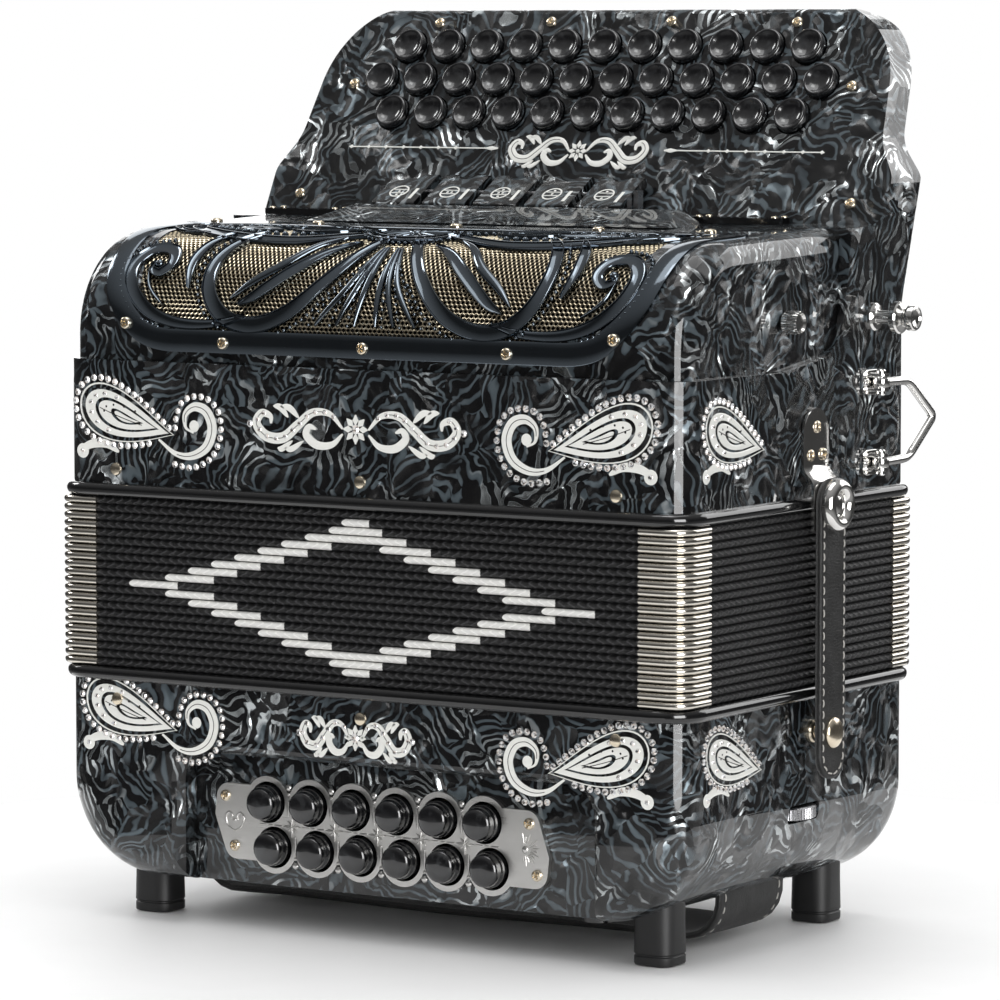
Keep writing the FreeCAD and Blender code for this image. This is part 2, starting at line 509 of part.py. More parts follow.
def make_grille():
    cover = cover_form(0).cut(cover_form(COVER_T))
    cover = cover.cut(box(-140, 140, -84, COVER_BACK_Y + 1, STEP_Z - 1, STEP_Z + 8))
    cover = cover.cut(box(-140.5, 140.5, COVER_BACK_Y - 8, COVER_BACK_Y + 1,
                          STEP_Z + 8, COVER_TOP_BACK - COVER_T))
    opening = grille_window(-9)
    skin = cover_form(-1.2).cut(cover_form(0))
    frame = skin.common(grille_window(0)).cut(opening)
    bridge_x = (-66, 0, 66)
    bars = [box(x - 5, x + 5, -100, GRILLE_BACK_Y, 225, 300) for x in bridge_x]
    ribs = skin.common(opening).common(bars[0].multiFuse(bars[1:]))
    frame = frame.fuse(ribs).removeSplitter()
    cover = cover.cut(opening)
    sheet = cover_form(COVER_T + GAP).cut(cover_form(COVER_T + 0.8)).common(grille_window(-2))
    seats = [(x, -COVER_FACE - 1.2, z, V(0, -1, 0)) for x, z in FRONT_GRILLE_SCREWS]
    rise = (COVER_TOP_BACK - COVER_TOP_FRONT + 1) / (COVER_BACK_Y + COVER_FACE)
    top_z = COVER_TOP_FRONT - 1 + rise * (TOP_SCREW_Y + COVER_FACE)
    seats += [(x, TOP_SCREW_Y, top_z + 1.3, V(0, -rise, 1)) for x in TOP_GRILLE_SCREWS]
    for x, y, z, out in seats:
        seat = V(x, y, z)
        keep("treble_fasteners", screw(2.6, 1.5, 1.0, 3.4, seat, out))
        hole = rod(1.0 + GAP / 2, seat + out, seat - out * 6)
        frame, cover, sheet = frame.cut(hole), cover.cut(hole), sheet.cut(hole)
    keep("grille_frame", frame)
    keep("grille_mesh", *sheet.Solids)
    face_x = CASE_W / 2 - COVER_INSET
    cover = cover.cut(rod(1.55, V(face_x - 6, KNOB_Y, KNOB_Z), V(face_x + 1, KNOB_Y, KNOB_Z)))
    knob = rod(KNOB_R, V(face_x + 1, KNOB_Y, KNOB_Z), V(face_x + 8, KNOB_Y, KNOB_Z))
    knob = knob.makeFillet(0.6, [knob.Edges[0], knob.Edges[2]])
    keep("side_knob", knob.fuse(rod(1.5, V(face_x - 6, KNOB_Y, KNOB_Z), V(face_x + 2, KNOB_Y, KNOB_Z))))
    keep("grille_cover", cover)


def make_fingerboard():
    plate = on_board(prism_z(plate_outline(0), -PLATE_T + 0.02, 0))
    holes = []
    for row, (v, _) in enumerate(ROWS):
        for x in treble_button_xs(row):
            holes.append(rod(BUTTON_HOLE_R, board_point(x, v, -5), board_point(x, v, 2)))
    plate = bored(plate, holes)
    casing = NODES["treble_casing"][0]
    for x, v in BOARD_SCREWS:
        keep("treble_fasteners", screw(2.5, 1.2, 1.0, 4.5, board_point(x, v, 0), SLOPE_OUT))
        hole = rod(1.0 + GAP / 2, board_point(x, v, 1), board_point(x, v, -5))
        plate, casing = plate.cut(hole), casing.cut(hole)
    NODES["treble_casing"] = [casing]
    keep("fingerboard_plate", plate)


def make_treble_buttons():
    for row, (v, _) in enumerate(ROWS):
        for x in treble_button_xs(row):
            cap = rod(BUTTON_R, board_point(x, v, -BUTTON_SINK), board_point(x, v, BUTTON_PROUD))
            rim = [e for e in cap.Edges if (e.CenterOfMass - board_point(x, v, BUTTON_PROUD)).Length < 0.1]
            cap = cap.makeFillet(1.4, rim)
            dish = Part.makeSphere(18, board_point(x, v, BUTTON_PROUD + 18 - 0.9))
            stem_x = x + LEVER_OFFSETS[row]
            foot = board_point(stem_x, v, -LEVER_DEPTH + LEVER_HALF_W + 0.3)
            stem = rod(1.8, board_point(stem_x, v, -BUTTON_SINK), foot)
            keep("treble_buttons_row_%d" % (row + 1), cap.cut(dish).fuse(stem).removeSplitter())


def lever(x, v_button, pallet_y):
    """Bent strip from under a button, over the pivot rod, down to a pallet on the soundboard."""
    half_t, half_w = 1.0, LEVER_HALF_W
    tip = board_point(x, v_button + 3, -LEVER_DEPTH)
    pivot = board_point(x, PIVOT_V, -LEVER_DEPTH)
    pad_top = V(x, pallet_y, TREBLE_BOARD_Z + SOUNDBOARD_T + 4.2)
    knee = V(x, *KNEE)
    strips = [rod(half_w, knee - V(half_t, 0, 0), knee + V(half_t, 0, 0))]
    for start, end in ((tip, pivot), (pivot, knee), (knee, pad_top)):
        along = (end - start).normalize()
        across = V(1, 0, 0).cross(along) * half_w
        side = V(half_t, 0, 0)
        corners = [start + across - side, end + across - side, end - across - side, start - across - side]
        face = Part.Face(Part.makePolygon(corners + [corners[0]]))
        strips.append(face.extrude(side * 2))
    hub = rod(3.0, pivot - V(2, 0, 0), pivot + V(2, 0, 0))
    pad = box(x - 7, x + 7, pallet_y - 10, pallet_y + 10, pad_top.z - 4, pad_top.z)
    solid = hub.multiFuse(strips + [pad])
    return solid.cut(rod(1.55, pivot - V(3, 0, 0), pivot + V(3, 0, 0))).removeSplitter()


def make_levers():
    for row, (v, _) in enumerate(ROWS):
        for x in treble_button_xs(row):
            keep("treble_levers_row_%d" % (row + 1), lever(x + LEVER_OFFSETS[row], v, PALLET_YS[row]))
    start = board_point(-PIVOT_HALF, PIVOT_V, -LEVER_DEPTH)
    end = board_point(PIVOT_HALF, PIVOT_V, -LEVER_DEPTH)
    block_x = (PIVOT_HALF + REAR_HALF) / 2
    block = on_board(plan_block(REAR_HALF - PIVOT_HALF, 8, 0, -11.5, -4.6, block_x, 8.5))
    keep("lever_pivot_rod", rod(1.5, start, end), *both_sides(block))


def make_registers():
    ledge = [(8, COVER_TOP_BACK - 0.5, 0), (12, COVER_TOP_BACK + 0.4, 1), (34, 287.2, 3), (37.5, 287.2, 1),
             (37.5, COVER_TOP_BACK - 0.5, 0)]
    shape = prism_x(ledge, -96, 84)
    front = [(-96, 279, 0), (84, 279, 0), (64, 290, 4), (-84, 290, 4)]
    shape = shape.common(prism_y(front, 0, 50)).cut(cover_form(0)).cut(NODES["treble_casing"][0])
    keep("switch_ledge", *[s for s in shape.Solids if s.Volume > 50])
    (y0, z0), (y1, z1) = TAB_FRONT, TAB_BACK
    for i in range(5):
        x = TAB_X0 + i * TAB_PITCH
        side = [(y0, z0, 1.5), (y0, z0 - 4.0, 1), (y0 + 4, z0 - 4.0, 1),
                (y1 + 0.5, z1 - 4.5, 1), (y1, z1, 1.5)]
        tab = prism_x(side, x - TAB_W / 2, x + TAB_W / 2)
        notch = rod(5.0, V(x, y1 + 0.5, z1 - 8), V(x, y1 + 0.5, z1 + 4))
        bore = rod(AXLE_R + 0.06, V(-100, *TAB_AXLE), V(100, *TAB_AXLE))
        keep("register_tab_%d" % (i + 1), tab.cut(notch).cut(bore))
    last = TAB_X0 + 4 * TAB_PITCH
    ends = (TAB_X0 - TAB_W / 2 - 2.6, last + TAB_W / 2 + 0.4)
    lugs = [box(x, x + 2.2, TAB_AXLE[0] - 2, TAB_AXLE[0] + 2, BOARD_Z, TAB_AXLE[1] + 2) for x in ends]
    axle = rod(AXLE_R, V(ends[0] + 1, *TAB_AXLE), V(ends[1] + 1, *TAB_AXLE))
    keep("register_axle", axle.multiFuse(lugs).removeSplitter())


def make_trims():
    for x0, x1 in ((-138, -100), (72, 113)):
        for y in (42.0, 50.0):
            low, high = COVER_TOP_BACK + 0.5, COVER_TOP_BACK + 3.0
            keep("trim_bars", box(x0, x1, y - 1.4, y + 1.4, low, high))
            outer = x1 - 3 if x0 > 0 else x0 + 3
            keep("treble_fasteners", screw(1.5, 0.8, 0.7, 0.0, V(outer, y, high), V(0, 0, 1)))


# ---- side fittings ---------------------------------------------------------------------------------------
def bail_path():
    eyes = [(BAIL_Y, z) for z in BAIL_EYES_Z]
    return [eyes[0], (80.5, 218.6), (99.6, 203.6), (80.5, 188.4), eyes[1]]


def make_bail():
    """Bent rod loop with an eye at each end, standing along the side of the casing."""
    points = [V(BAIL_X, y, z) for y, z in bail_path()]
    loop = rod(BAIL_ROD, points[0] + V(0, 3, 0), points[1])
    for start, end in zip(points[1:-1], points[2:]):
        loop = loop.fuse(rod(BAIL_ROD, start, end - V(0, -3, 0) if end is points[-1] else end))
    for joint in points[1:-1]:
        loop = loop.fuse(Part.makeSphere(BAIL_ROD, joint))
    for _, z in (bail_path()[0], bail_path()[-1]):
        eye = Part.makeCylinder(3.3, 3.6, V(BAIL_X, BAIL_Y, z - 1.8))
        loop = loop.fuse(eye)
    bore = Part.makeCylinder(1.7, 60, V(BAIL_X, BAIL_Y, 175))
    return loop.removeSplitter().cut(bore)


def make_bail_bracket(z):
    """Plate screwed to the side, with two lugs and a pin through the loop's eye."""
    face = CASE_W / 2
    plate = box(face, face + 0.9, BAIL_Y - 8, BAIL_Y + 4, z - 5, z + 5)
    for low in (z - 3.5, z + 2.1):
        plate = plate.fuse(box(face + 0.5, BAIL_X + 0.5, BAIL_Y - 3, BAIL_Y + 3, low, low + 1.4))
        plate = plate.fuse(Part.makeCylinder(3.0, 1.4, V(BAIL_X, BAIL_Y, low)))
    return plate.fuse(Part.makeCylinder(1.5, 7.4, V(BAIL_X, BAIL_Y, z - 3.7))).removeSplitter()


def make_side_fittings():
    face = CASE_W / 2
    bail = make_bail()
    keep("strap_bail_right", bail)
    keep("strap_bail_left", other_side(bail))
    for z in BAIL_EYES_Z:
        keep("strap_fittings", *both_sides(make_bail_bracket(z)))
    base = V(face + 0.3, PEG_Y, PEG_Z)
    peg = rod(5.0, base, base + V(1.7, 0, 0)).fuse(rod(2.6, base, base + V(17, 0, 0)))
    peg = peg.fuse(rod(6.5, base + V(9.7, 0, 0), base + V(12.7, 0, 0)))
    peg = peg.fuse(rod(5.0, base + V(15.7, 0, 0), base + V(19.2, 0, 0))).removeSplitter()
    keep("strap_fittings", *both_sides(peg))
    y, z, x = SIDE_STRAP_Y, SIDE_STRAP_Z, SIDE_STRAP_X
    tongue = [(y - 10, z + 11, 0), (y + 10, z + 11, 0), (y + 10, 212, 9.9), (y - 10, 212, 9.9)]
    bracket = prism_x(tongue, face, face + 1.6)
    step = [(face, z + 14), (face + 1.6, z + 14), (x - 1.4, z + 9), (x - 1.4, z - 9), (x - 3.0, z - 9),
            (x - 3.0, z + 8.4), (face, z + 12.4)]
    step = prism_y([(a, b, 0) for a, b in step], y - 10, y + 10)
    bracket = bracket.fuse(step).fuse(rod(4.95, V(x - 1.5, y, z), V(x + 3.3, y, z))).removeSplitter()
    for dy, height in ((-5.0, 193.5), (5.0, 193.5), (0.0, 204.5)):
        seat = V(face + 1.6, y + dy, height)
        bracket = bracket.cut(rod(1.05, seat + V(1, 0, 0), seat - V(3, 0, 0)))
        keep("treble_fasteners", *both_sides(screw(2.4, 1.1, 1.0, 1.5, seat, V(1, 0, 0))))
    keep("strap_fittings", *both_sides(bracket))
    cap = rod(10.5, V(x + 3.3, y, z), V(x + 5.2, y, z))
    cap = cap.makeFillet(1.0, [e for e in cap.Edges if near(e, lambda p: p.x > x + 5.1)])
    keep("strap_fittings", *both_sides(cap))
    band = [(y - 10, 66, 9.9), (y + 10, 66, 9.9), (y + 10, z + 10.5, 9.9), (y - 10, z + 10.5, 9.9)]
    band = prism_x(band, x, x + 2.8).cut(rod(5.0, V(x - 1, y, z), V(x + 4, y, z)))
    band = band.cut(rod(2.05, V(x - 1, y, SNAP_Z), V(x + 4, y, SNAP_Z)))
    snap = screw(6.2, 2.6, 2.0, 2.6, V(x + 2.85, y, SNAP_Z), V(1, 0, 0))
    keep("bellows_strap_right", band, snap)
    keep("bellows_strap_left", other_side(band), other_side(snap))
    keep("bass_fasteners", *both_sides(rod(4.5, V(face, y, SNAP_Z), V(face + 2, y, SNAP_Z)).fuse(
        rod(2.8, V(face, y, SNAP_Z), V(x - 0.6, y, SNAP_Z)))))


# ---- build ---------------------------------------------------------------------------------------------
make_bass_end()
make_treble_casing()
make_bellows()
make_grille()
make_fingerboard()
make_treble_buttons()
make_levers()
make_registers()
make_trims()
make_side_fittings()

os.makedirs("parts", exist_ok=True)
for node, solids in NODES.items():
    shape = solids[0] if len(solids) == 1 else Part.makeCompound(solids)
    shape = shape.copy()
    shape.translate(V(0, SHIFT_Y, 0))
    shape.exportStep(os.path.join("parts", node + ".step"))
    print(node, len(shape.Solids), "solids", "valid" if shape.isValid() else "INVALID", round(shape.Volume))
print(len(NODES), "nodes, shift", round(SHIFT_Y, 3))
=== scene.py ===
"""Looks of the button accordion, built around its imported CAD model.

Sizes in millimetres, measured from the middle of the casing, go through at() into the row frame.
"""
import json
import math
import bmesh
import bpy
from mathutils import Matrix, Vector


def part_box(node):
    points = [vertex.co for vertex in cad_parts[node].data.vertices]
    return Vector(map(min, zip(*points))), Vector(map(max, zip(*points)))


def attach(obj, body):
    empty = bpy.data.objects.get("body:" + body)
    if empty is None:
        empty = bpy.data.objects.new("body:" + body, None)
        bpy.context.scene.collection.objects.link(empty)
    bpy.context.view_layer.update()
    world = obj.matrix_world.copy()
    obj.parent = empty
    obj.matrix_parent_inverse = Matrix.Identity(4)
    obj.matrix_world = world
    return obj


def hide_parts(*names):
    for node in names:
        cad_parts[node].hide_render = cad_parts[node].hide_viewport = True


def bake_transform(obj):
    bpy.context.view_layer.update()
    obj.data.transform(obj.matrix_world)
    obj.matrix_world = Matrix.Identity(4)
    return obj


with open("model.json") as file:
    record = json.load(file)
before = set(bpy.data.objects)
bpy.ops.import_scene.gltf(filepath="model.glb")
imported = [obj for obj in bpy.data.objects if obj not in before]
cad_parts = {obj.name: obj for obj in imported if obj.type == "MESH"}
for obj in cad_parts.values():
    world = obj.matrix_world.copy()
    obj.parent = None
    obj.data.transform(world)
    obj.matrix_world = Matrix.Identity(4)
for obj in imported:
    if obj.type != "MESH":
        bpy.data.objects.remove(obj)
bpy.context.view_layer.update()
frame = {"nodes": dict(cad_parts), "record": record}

MM = 0.001

# ---- the frame's own sizes, in millimetres from the middle of the casing -------------------------
case_lo, case_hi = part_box("bass_casing")
CENTRE_Y = (case_lo.y + case_hi.y) / 2


def at(x, y, z):
    """A point given in millimetres from the middle of the casing, in the row frame's metres."""
    return Vector((x * MM, CENTRE_Y + y * MM, z * MM))


def box_mm(node):
    """A node's box in millimetres from the middle of the casing."""
    lo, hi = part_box(node)
    shift = Vector((0, CENTRE_Y, 0))
    return (lo - shift) / MM, (hi - shift) / MM


case_lo, case_hi = box_mm("bass_casing")
fold_lo, fold_hi = box_mm("bellows")
board_lo, board_hi = box_mm("fingerboard_plate")
cover_lo, cover_hi = box_mm("grille_cover")
FRONT_Y, SIDE_X = case_lo.y, case_hi.x
FOLDS = 21
FOLD_H = (fold_hi.z - fold_lo.z) / FOLDS
LEAN = math.radians(26.41)                  # backward lean of the fingerboard
BOARD_Y, BOARD_Z = 57.1, 282.0              # foot of the fingerboard's face
COVER_R = 42.0                              # big front edge of the grille cover
COVER_FRONT, COVER_TOP = cover_lo.y, 277.0  # its upright front and where the top's line starts
COVER_BACK_Y, COVER_TOP_BACK = 34.0, 281.4
PLATE_Y = -81.0                             # face of the bass button plate
SIDE_STRAP_Y, SIDE_STRAP_Z, SIDE_STRAP_X = 9.0, 174.3, 153.6
SNAP_Z = 84.5
PEG_Y, PEG_Z = 57.3, 245.4
BAIL_X, BAIL_Y, BAIL_ROD = 151.2, 56.0, 1.8     # shoulder strap loops: hinge line and rod radius
BAIL_EYES_Z = (219.5, 187.5)
FOOT_X, FOOT_Y = 119.7, 61.3
KNOB_Y, KNOB_Z = -9.5, 246.1                # small knurled knob on the cover's side
WHEEL_X, WHEEL_Y, WHEEL_Z = 133.8, 3.4, 52.7    # hand strap's thumbwheel
BELLOWS_R, CORNER_LEG = 9.0, 20.0           # bellows corner radius, length of the metal corners
BASS_BUTTONS_PER_ROW = 6
FRONT_GRILLE_SCREWS = ((-115, 242), (-67, 235.2), (0, 235.2), (67, 235.2), (115, 242))
TOP_GRILLE_SCREWS, TOP_SCREW_Y = (-118, -67, 0, 67, 118), -22.0
BOARD_SCREWS = ((-86, 89.8), (-30, 90.2), (29, 90.4), (89, 89.8), (-121.5, 61), (121.5, 61), (-134, 9),
                (134, 9))
BAR_SCREW_XS, BAR_YS = (-135, 110, -103, 75), (42.0, 50.0)
STRAP_SCREWS = ((-5.0, 193.5), (5.0, 193.5), (0.0, 204.5))
PLATE_SCREWS = ((-72.3, 52.8), (-67.8, 32.9), (72.3, 52.8), (76.0, 32.9))
PIN_XS, TREBLE_PIN_Z, BASS_PIN_Z = (-119, 0, 117.5), 183.0, 89.75
SCREW_TURN = 0.7                            # each screw's slot is turned this much further, radians
BOARD_LINE_V = 31.4                         # height of the white lines on the fingerboard
BUTTON_PITCH = 19.5
BUTTON_ROWS = ((78.45, 11), (62.86, 12), (47.32, 11))
BASS_PITCH, BASS_ROWS = 20.6, ((51.5, -0.2), (33.6, 3.1))
PI = math.pi


# ---- camera --------------------------------------------------------------------------------------
def make_camera(azimuth, elevation, distance, target, lens):
    """Camera that looks at target from an azimuth (0 looks along +Y) and an elevation, in degrees."""
    a, e = math.radians(azimuth), math.radians(elevation)
    back = Vector((math.sin(a) * math.cos(e), -math.cos(a) * math.cos(e), math.sin(e)))
    right = Vector((math.cos(a), math.sin(a), 0))
    up = back.cross(right)
    data = bpy.data.cameras.new("camera")
    data.lens, data.sensor_width = lens, 36.0
    camera = bpy.data.objects.new("camera", data)
    bpy.context.scene.collection.objects.link(camera)
    camera.matrix_world = Matrix.Translation(target + back * distance) @ Matrix(
        (right, up, back)).transposed().to_4x4()
    bpy.context.scene.camera = camera


make_camera(32.79, 4.97, 2.13733, at(4.73, 3.05, 169.41), 189.68)


# ---- mesh building -------------------------------------------------------------------------------
class Shape:
    """Gathers points and faces of one piece, in metres."""

    def __init__(self):
        self.points, self.faces = [], []

    def grid(self, rows, close_rows=False, close_across=False):
        """Quads between rows of points."""
        start, wide = len(self.points), len(rows[0])
        for row in rows:
            self.points.extend(row)
        last_row = len(rows) if close_rows else len(rows) - 1
        last_col = wide if close_across else wide - 1
        for i in range(last_row):
            for j in range(last_col):
                a, b = start + i * wide, start + ((i + 1) % len(rows)) * wide
                k = (j + 1) % wide
                self.faces.append((a + j, a + k, b + k, b + j))
        return start

    def closed_tube(self, rows):
        """Rows of closed rings, with a face over the first and the last."""
        start = self.grid(rows, close_across=True)
        wide = len(rows[0])
        self.faces.append(tuple(start + j for j in range(wide)))
        last = start + (len(rows) - 1) * wide
        self.faces.append(tuple(last + j for j in reversed(range(wide))))

    def piece(self, name, material, body, slot, replaces=(), smooth=35):
        """Turn what was gathered into an object that rides on a body."""
        mesh = bpy.data.meshes.new(name)
        mesh.from_pydata([tuple(p) for p in self.points], [], self.faces)
        bm = bmesh.new()
        bm.from_mesh(mesh)
        bmesh.ops.remove_doubles(bm, verts=bm.verts, dist=2e-6)
        bmesh.ops.recalc_face_normals(bm, faces=bm.faces)
        bm.to_mesh(mesh)
        bm.free()
        mesh.materials.append(material)
        obj = bpy.data.objects.new(name, mesh)
        bpy.context.scene.collection.objects.link(obj)
        shade(obj, smooth)
        if body:
            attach(obj, body)
        if replaces:
            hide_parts(*replaces)
        return obj


def shade(obj, angle):
    """Smooth shading with edges sharper than angle kept crisp."""
    mesh = obj.data
    mesh.shade_smooth()
    mesh.set_sharp_from_angle(angle=math.radians(angle))


def lathe(shape, profile, centre, axis, steps=32):
    """Turn a (radius, height) profile about an axis through centre; millimetres."""
    axis = Vector(axis).normalized()
    side = axis.orthogonal().normalized()
    other = axis.cross(side)
    rows = []
    for radius, height in profile:
        rows.append([centre + (axis * height + (side * math.cos(t) + other * math.sin(t)) * radius) * MM
                     for t in (2 * PI * k / steps for k in range(steps))])
    shape.closed_tube(rows)


def spline(points, per_span=8, closed=False):
    """Smooth line through the points (Catmull-Rom)."""
    points = [Vector(p) for p in points]
    n = len(points)
    spans = n if closed else n - 1
    out = []
    for i in range(spans):
        if closed:
            p0, p1, p2, p3 = (points[(i + k) % n] for k in (-1, 0, 1, 2))
        else:
            p1, p2 = points[i], points[i + 1]
            p0 = points[i - 1] if i > 0 else p1 * 2 - p2
            p3 = points[i + 2] if i + 2 < n else p2 * 2 - p1
        for k in range(per_span):
            t = k / per_span
            out.append(0.5 * (p1 * 2 + (p2 - p0) * t + (p0 * 2 - p1 * 5 + p2 * 4 - p3) * t * t
                              + (p1 * 3 - p0 - p2 * 3 + p3) * t * t * t))
    if not closed:
        out.append(points[-1])
    return out


def resample(path, step, closed=False):
    """Points at even distances along a path."""
    if closed:
        path = path + [path[0]]
    total = sum((b - a).length for a, b in zip(path, path[1:]))
    count = max(2, round(total / step))
    marks = [total * k / count for k in range(count + (0 if closed else 1))]
    out, run, i = [], 0.0, 0
    for mark in marks:
        while i < len(path) - 2 and run + (path[i + 1] - path[i]).length < mark:
            run += (path[i + 1] - path[i]).length
            i += 1
        span = (path[i + 1] - path[i]).length or 1e-9
        out.append(path[i].lerp(path[i + 1], min(1.0, (mark - run) / span)))
    return out


def tube(shape, path, radius, sides=12, closed=False):
    """Round rod along a path of row-frame points; radius in millimetres."""
    tangents = []
    n = len(path)
    for i in range(n):
        a = path[i - 1] if (i > 0 or closed) else path[0]
        b = path[(i + 1) % n] if (i < n - 1 or closed) else path[-1]
        tangents.append((b - a).normalized())
    side = tangents[0].orthogonal().normalized()
    rows = []
    for p, t in zip(path, tangents):
        side = (side - t * side.dot(t)).normalized()
        other = t.cross(side)
        rows.append([p + (side * math.cos(2 * PI * k / sides)
                     + other * math.sin(2 * PI * k / sides)) * radius * MM
                     for k in range(sides)])
    if closed:
        shape.grid(rows, close_rows=True, close_across=True)
    else:
        shape.closed_tube(rows)


# ---- surfaces that ornaments lie on: (across, up, out) in millimetres -> row frame ---------------
def on_front(y):
    return lambda u, v, h: at(u, y - h, v)


def on_side(x):
    sign = 1 if x > 0 else -1
    return lambda u, v, h: at(x + sign * h, u, v)


def on_board(u, v, h):
    """The leaning fingerboard: v runs up its slope from its foot."""
    return at(u, BOARD_Y + v * math.sin(LEAN) - h * math.cos(LEAN),
              BOARD_Z + v * math.cos(LEAN) + h * math.sin(LEAN))


def cover_profile():
    """Arc of the grille cover's big front edge: its centre, radius and end angle."""
    slope = math.atan2(COVER_TOP_BACK - COVER_TOP, COVER_BACK_Y - COVER_FRONT)
    reach = COVER_R * math.tan((PI / 2 - slope) / 2)
    return COVER_FRONT + COVER_R, COVER_TOP - reach, slope


def on_cover(u, v, h):
    """The grille cover: v is the distance from the grille's lower edge, up the front and over the top."""
    cy, cz, slope = cover_profile()
    upright = cz - GRILLE_FOOT
    turn = PI / 2 - slope
    if v <= upright:
        return at(u, COVER_FRONT - h, GRILLE_FOOT + v)
    if v <= upright + COVER_R * turn:
        a = (v - upright) / COVER_R
        return at(u, cy - math.cos(a) * (COVER_R + h), cz + math.sin(a) * (COVER_R + h))
    rest = v - upright - COVER_R * turn
    y = cy - math.cos(turn) * (COVER_R + h) + rest * math.cos(slope)
    z = cz + math.sin(turn) * (COVER_R + h) + rest * math.sin(slope)
    return at(u, y, z)


GRILLE_FOOT = 231.2                         # lower edge of the grille
GRILLE_TALL = 98.0                          # from there over the big edge to the grille's back


def across_of(path, closed):
    """Sideways direction at each point of a flat path."""
    out, n = [], len(path)
    for i in range(n):
        a = path[i - 1] if (i > 0 or closed) else path[0]
        b = path[(i + 1) % n] if (i < n - 1 or closed) else path[-1]
        d = b - a
        d = d.normalized() if d.length > 1e-9 else Vector((1, 0))
        out.append(Vector((-d.y, d.x)))
    return out


FLAT = ((-1, -0.3), (-1, 0.7), (-0.8, 1.0), (0, 1.0), (0.8, 1.0), (1, 0.7), (1, -0.3))
ROUND = ((-1, -0.3), (-1, 0.15), (-0.8, 0.6), (-0.4, 0.92), (0, 1.0), (0.4, 0.92), (0.8, 0.6), (1, 0.15),
         (1, -0.3))
LIPPED = ((-1, -0.3), (-1, 0.7), (-0.93, 1.0), (-0.84, 1.0), (-0.76, 0.45), (-0.5, 0.2), (0, 0.1),
          (0.5, 0.2),
          (0.76, 0.45), (0.84, 1.0), (0.93, 1.0), (1, 0.7), (1, -0.3))


def stroke(shape, surface, path, width, height, profile=FLAT, closed=False):
    """Raised band along a flat path; width is a number or a function of the share of the way along."""
    path = [Vector(p[:2]) for p in path]
    sides = across_of(path, closed)
    rows = []
    for i, (p, side) in enumerate(zip(path, sides)):
        share = i / (len(path) - 1)
        w = (width(share) if callable(width) else width) / 2
        rows.append([surface(p.x + side.x * w * t, p.y + side.y * w * t, h * height) for t, h in profile])
    if closed:
        shape.grid(rows, close_rows=True, close_across=True)
    else:
        shape.closed_tube(rows)


def dome(shape, surface, u, v, radius, height, steps=10):
    """Low round bead on a surface."""
    rows = []
    for a in (-0.25, 0.0, 0.35, 0.7, 1.0, 1.3):
        r, h = radius * math.cos(max(a, 0)), height * (math.sin(a) if a > 0 else a)
        rows.append([surface(u + r * math.cos(2 * PI * k / steps), v + r * math.sin(2 * PI * k / steps), h)
                     for k in range(steps)])
    shape.closed_tube(rows)


def taper(wide, first=0.0, last=0.0):
    """Width that swells to wide in the middle from a share of it at each end."""
    def width(t):
        end = first if t < 0.5 else last
        return wide * (end + (1 - end) * math.sin(PI * t) ** 0.7)
    return width


# ---- materials -----------------------------------------------------------------------------------
class Nodes:
    """Short way to build one material's node tree."""

    def __init__(self, name):
        self.material = bpy.data.materials.new(name)
        self.material.use_nodes = True
        self.tree = self.material.node_tree
        self.shader = self.tree.nodes["Principled BSDF"]
        self.place = self.add("ShaderNodeTexCoord").outputs["Object"]

    def add(self, kind, settings=None, **sockets):
        made = self.tree.nodes.new(kind)
        for key, value in (settings or {}).items():
            setattr(made, key, value)
        for key, value in sockets.items():
            self.put(made.inputs[int(key[1:])] if key[0] == "i" and key[1:].isdigit()
                     else made.inputs[key.replace("_", " ")], value)
        return made

    def put(self, socket, value):
        if isinstance(value, bpy.types.NodeSocket):
            self.tree.links.new(value, socket)
        else:
            socket.default_value = value

    def set(self, **sockets):
        """Set the shader's own sockets, as Base_Color=... for Base Color."""
        for key, value in sockets.items():
            self.put(self.shader.inputs[key.replace("_", " ")], value)

    def maths(self, operation, a, b=0.0, c=0.0):
        return self.add("ShaderNodeMath", {"operation": operation}, i0=a, i1=b, i2=c).outputs[0]

    def vector(self, operation, a, b=(0, 0, 0), scale=1.0):
        made = self.add("ShaderNodeVectorMath", {"operation": operation}, i0=a, i1=b, i3=scale)
        return made.outputs["Value" if operation == "DOT_PRODUCT" else "Vector"]

    def noise(self, place, scale, detail=2.0, output="Fac", roughness=0.5):
        return self.add("ShaderNodeTexNoise", Vector=place, Scale=scale, Detail=detail,
                        Roughness=roughness).outputs[output]

    def ramp(self, value, stops, smooth=False):
        made = self.add("ShaderNodeValToRGB", Fac=value)
        made.color_ramp.interpolation = "EASE" if smooth else "LINEAR"
        elements = made.color_ramp.elements
        while len(elements) < len(stops):
            elements.new(0.5)
        for element, (position, colour) in zip(elements, stops):
            element.position = position
            element.color = (*colour, 1) if isinstance(colour, tuple) else (colour, colour, colour, 1)
        return made.outputs["Color"]

    def mix(self, factor, a, b):
        made = self.add("ShaderNodeMix", {"data_type": "RGBA"}, i0=factor)
        self.put(made.inputs[6], a)
        self.put(made.inputs[7], b)
        return made.outputs[2]

    def bump(self, height, strength, distance):
        return self.add("ShaderNodeBump", Strength=strength, Distance=distance,
                        Height=height).outputs["Normal"]


def colour(r, g, b):
    return (r, g, b, 1.0)


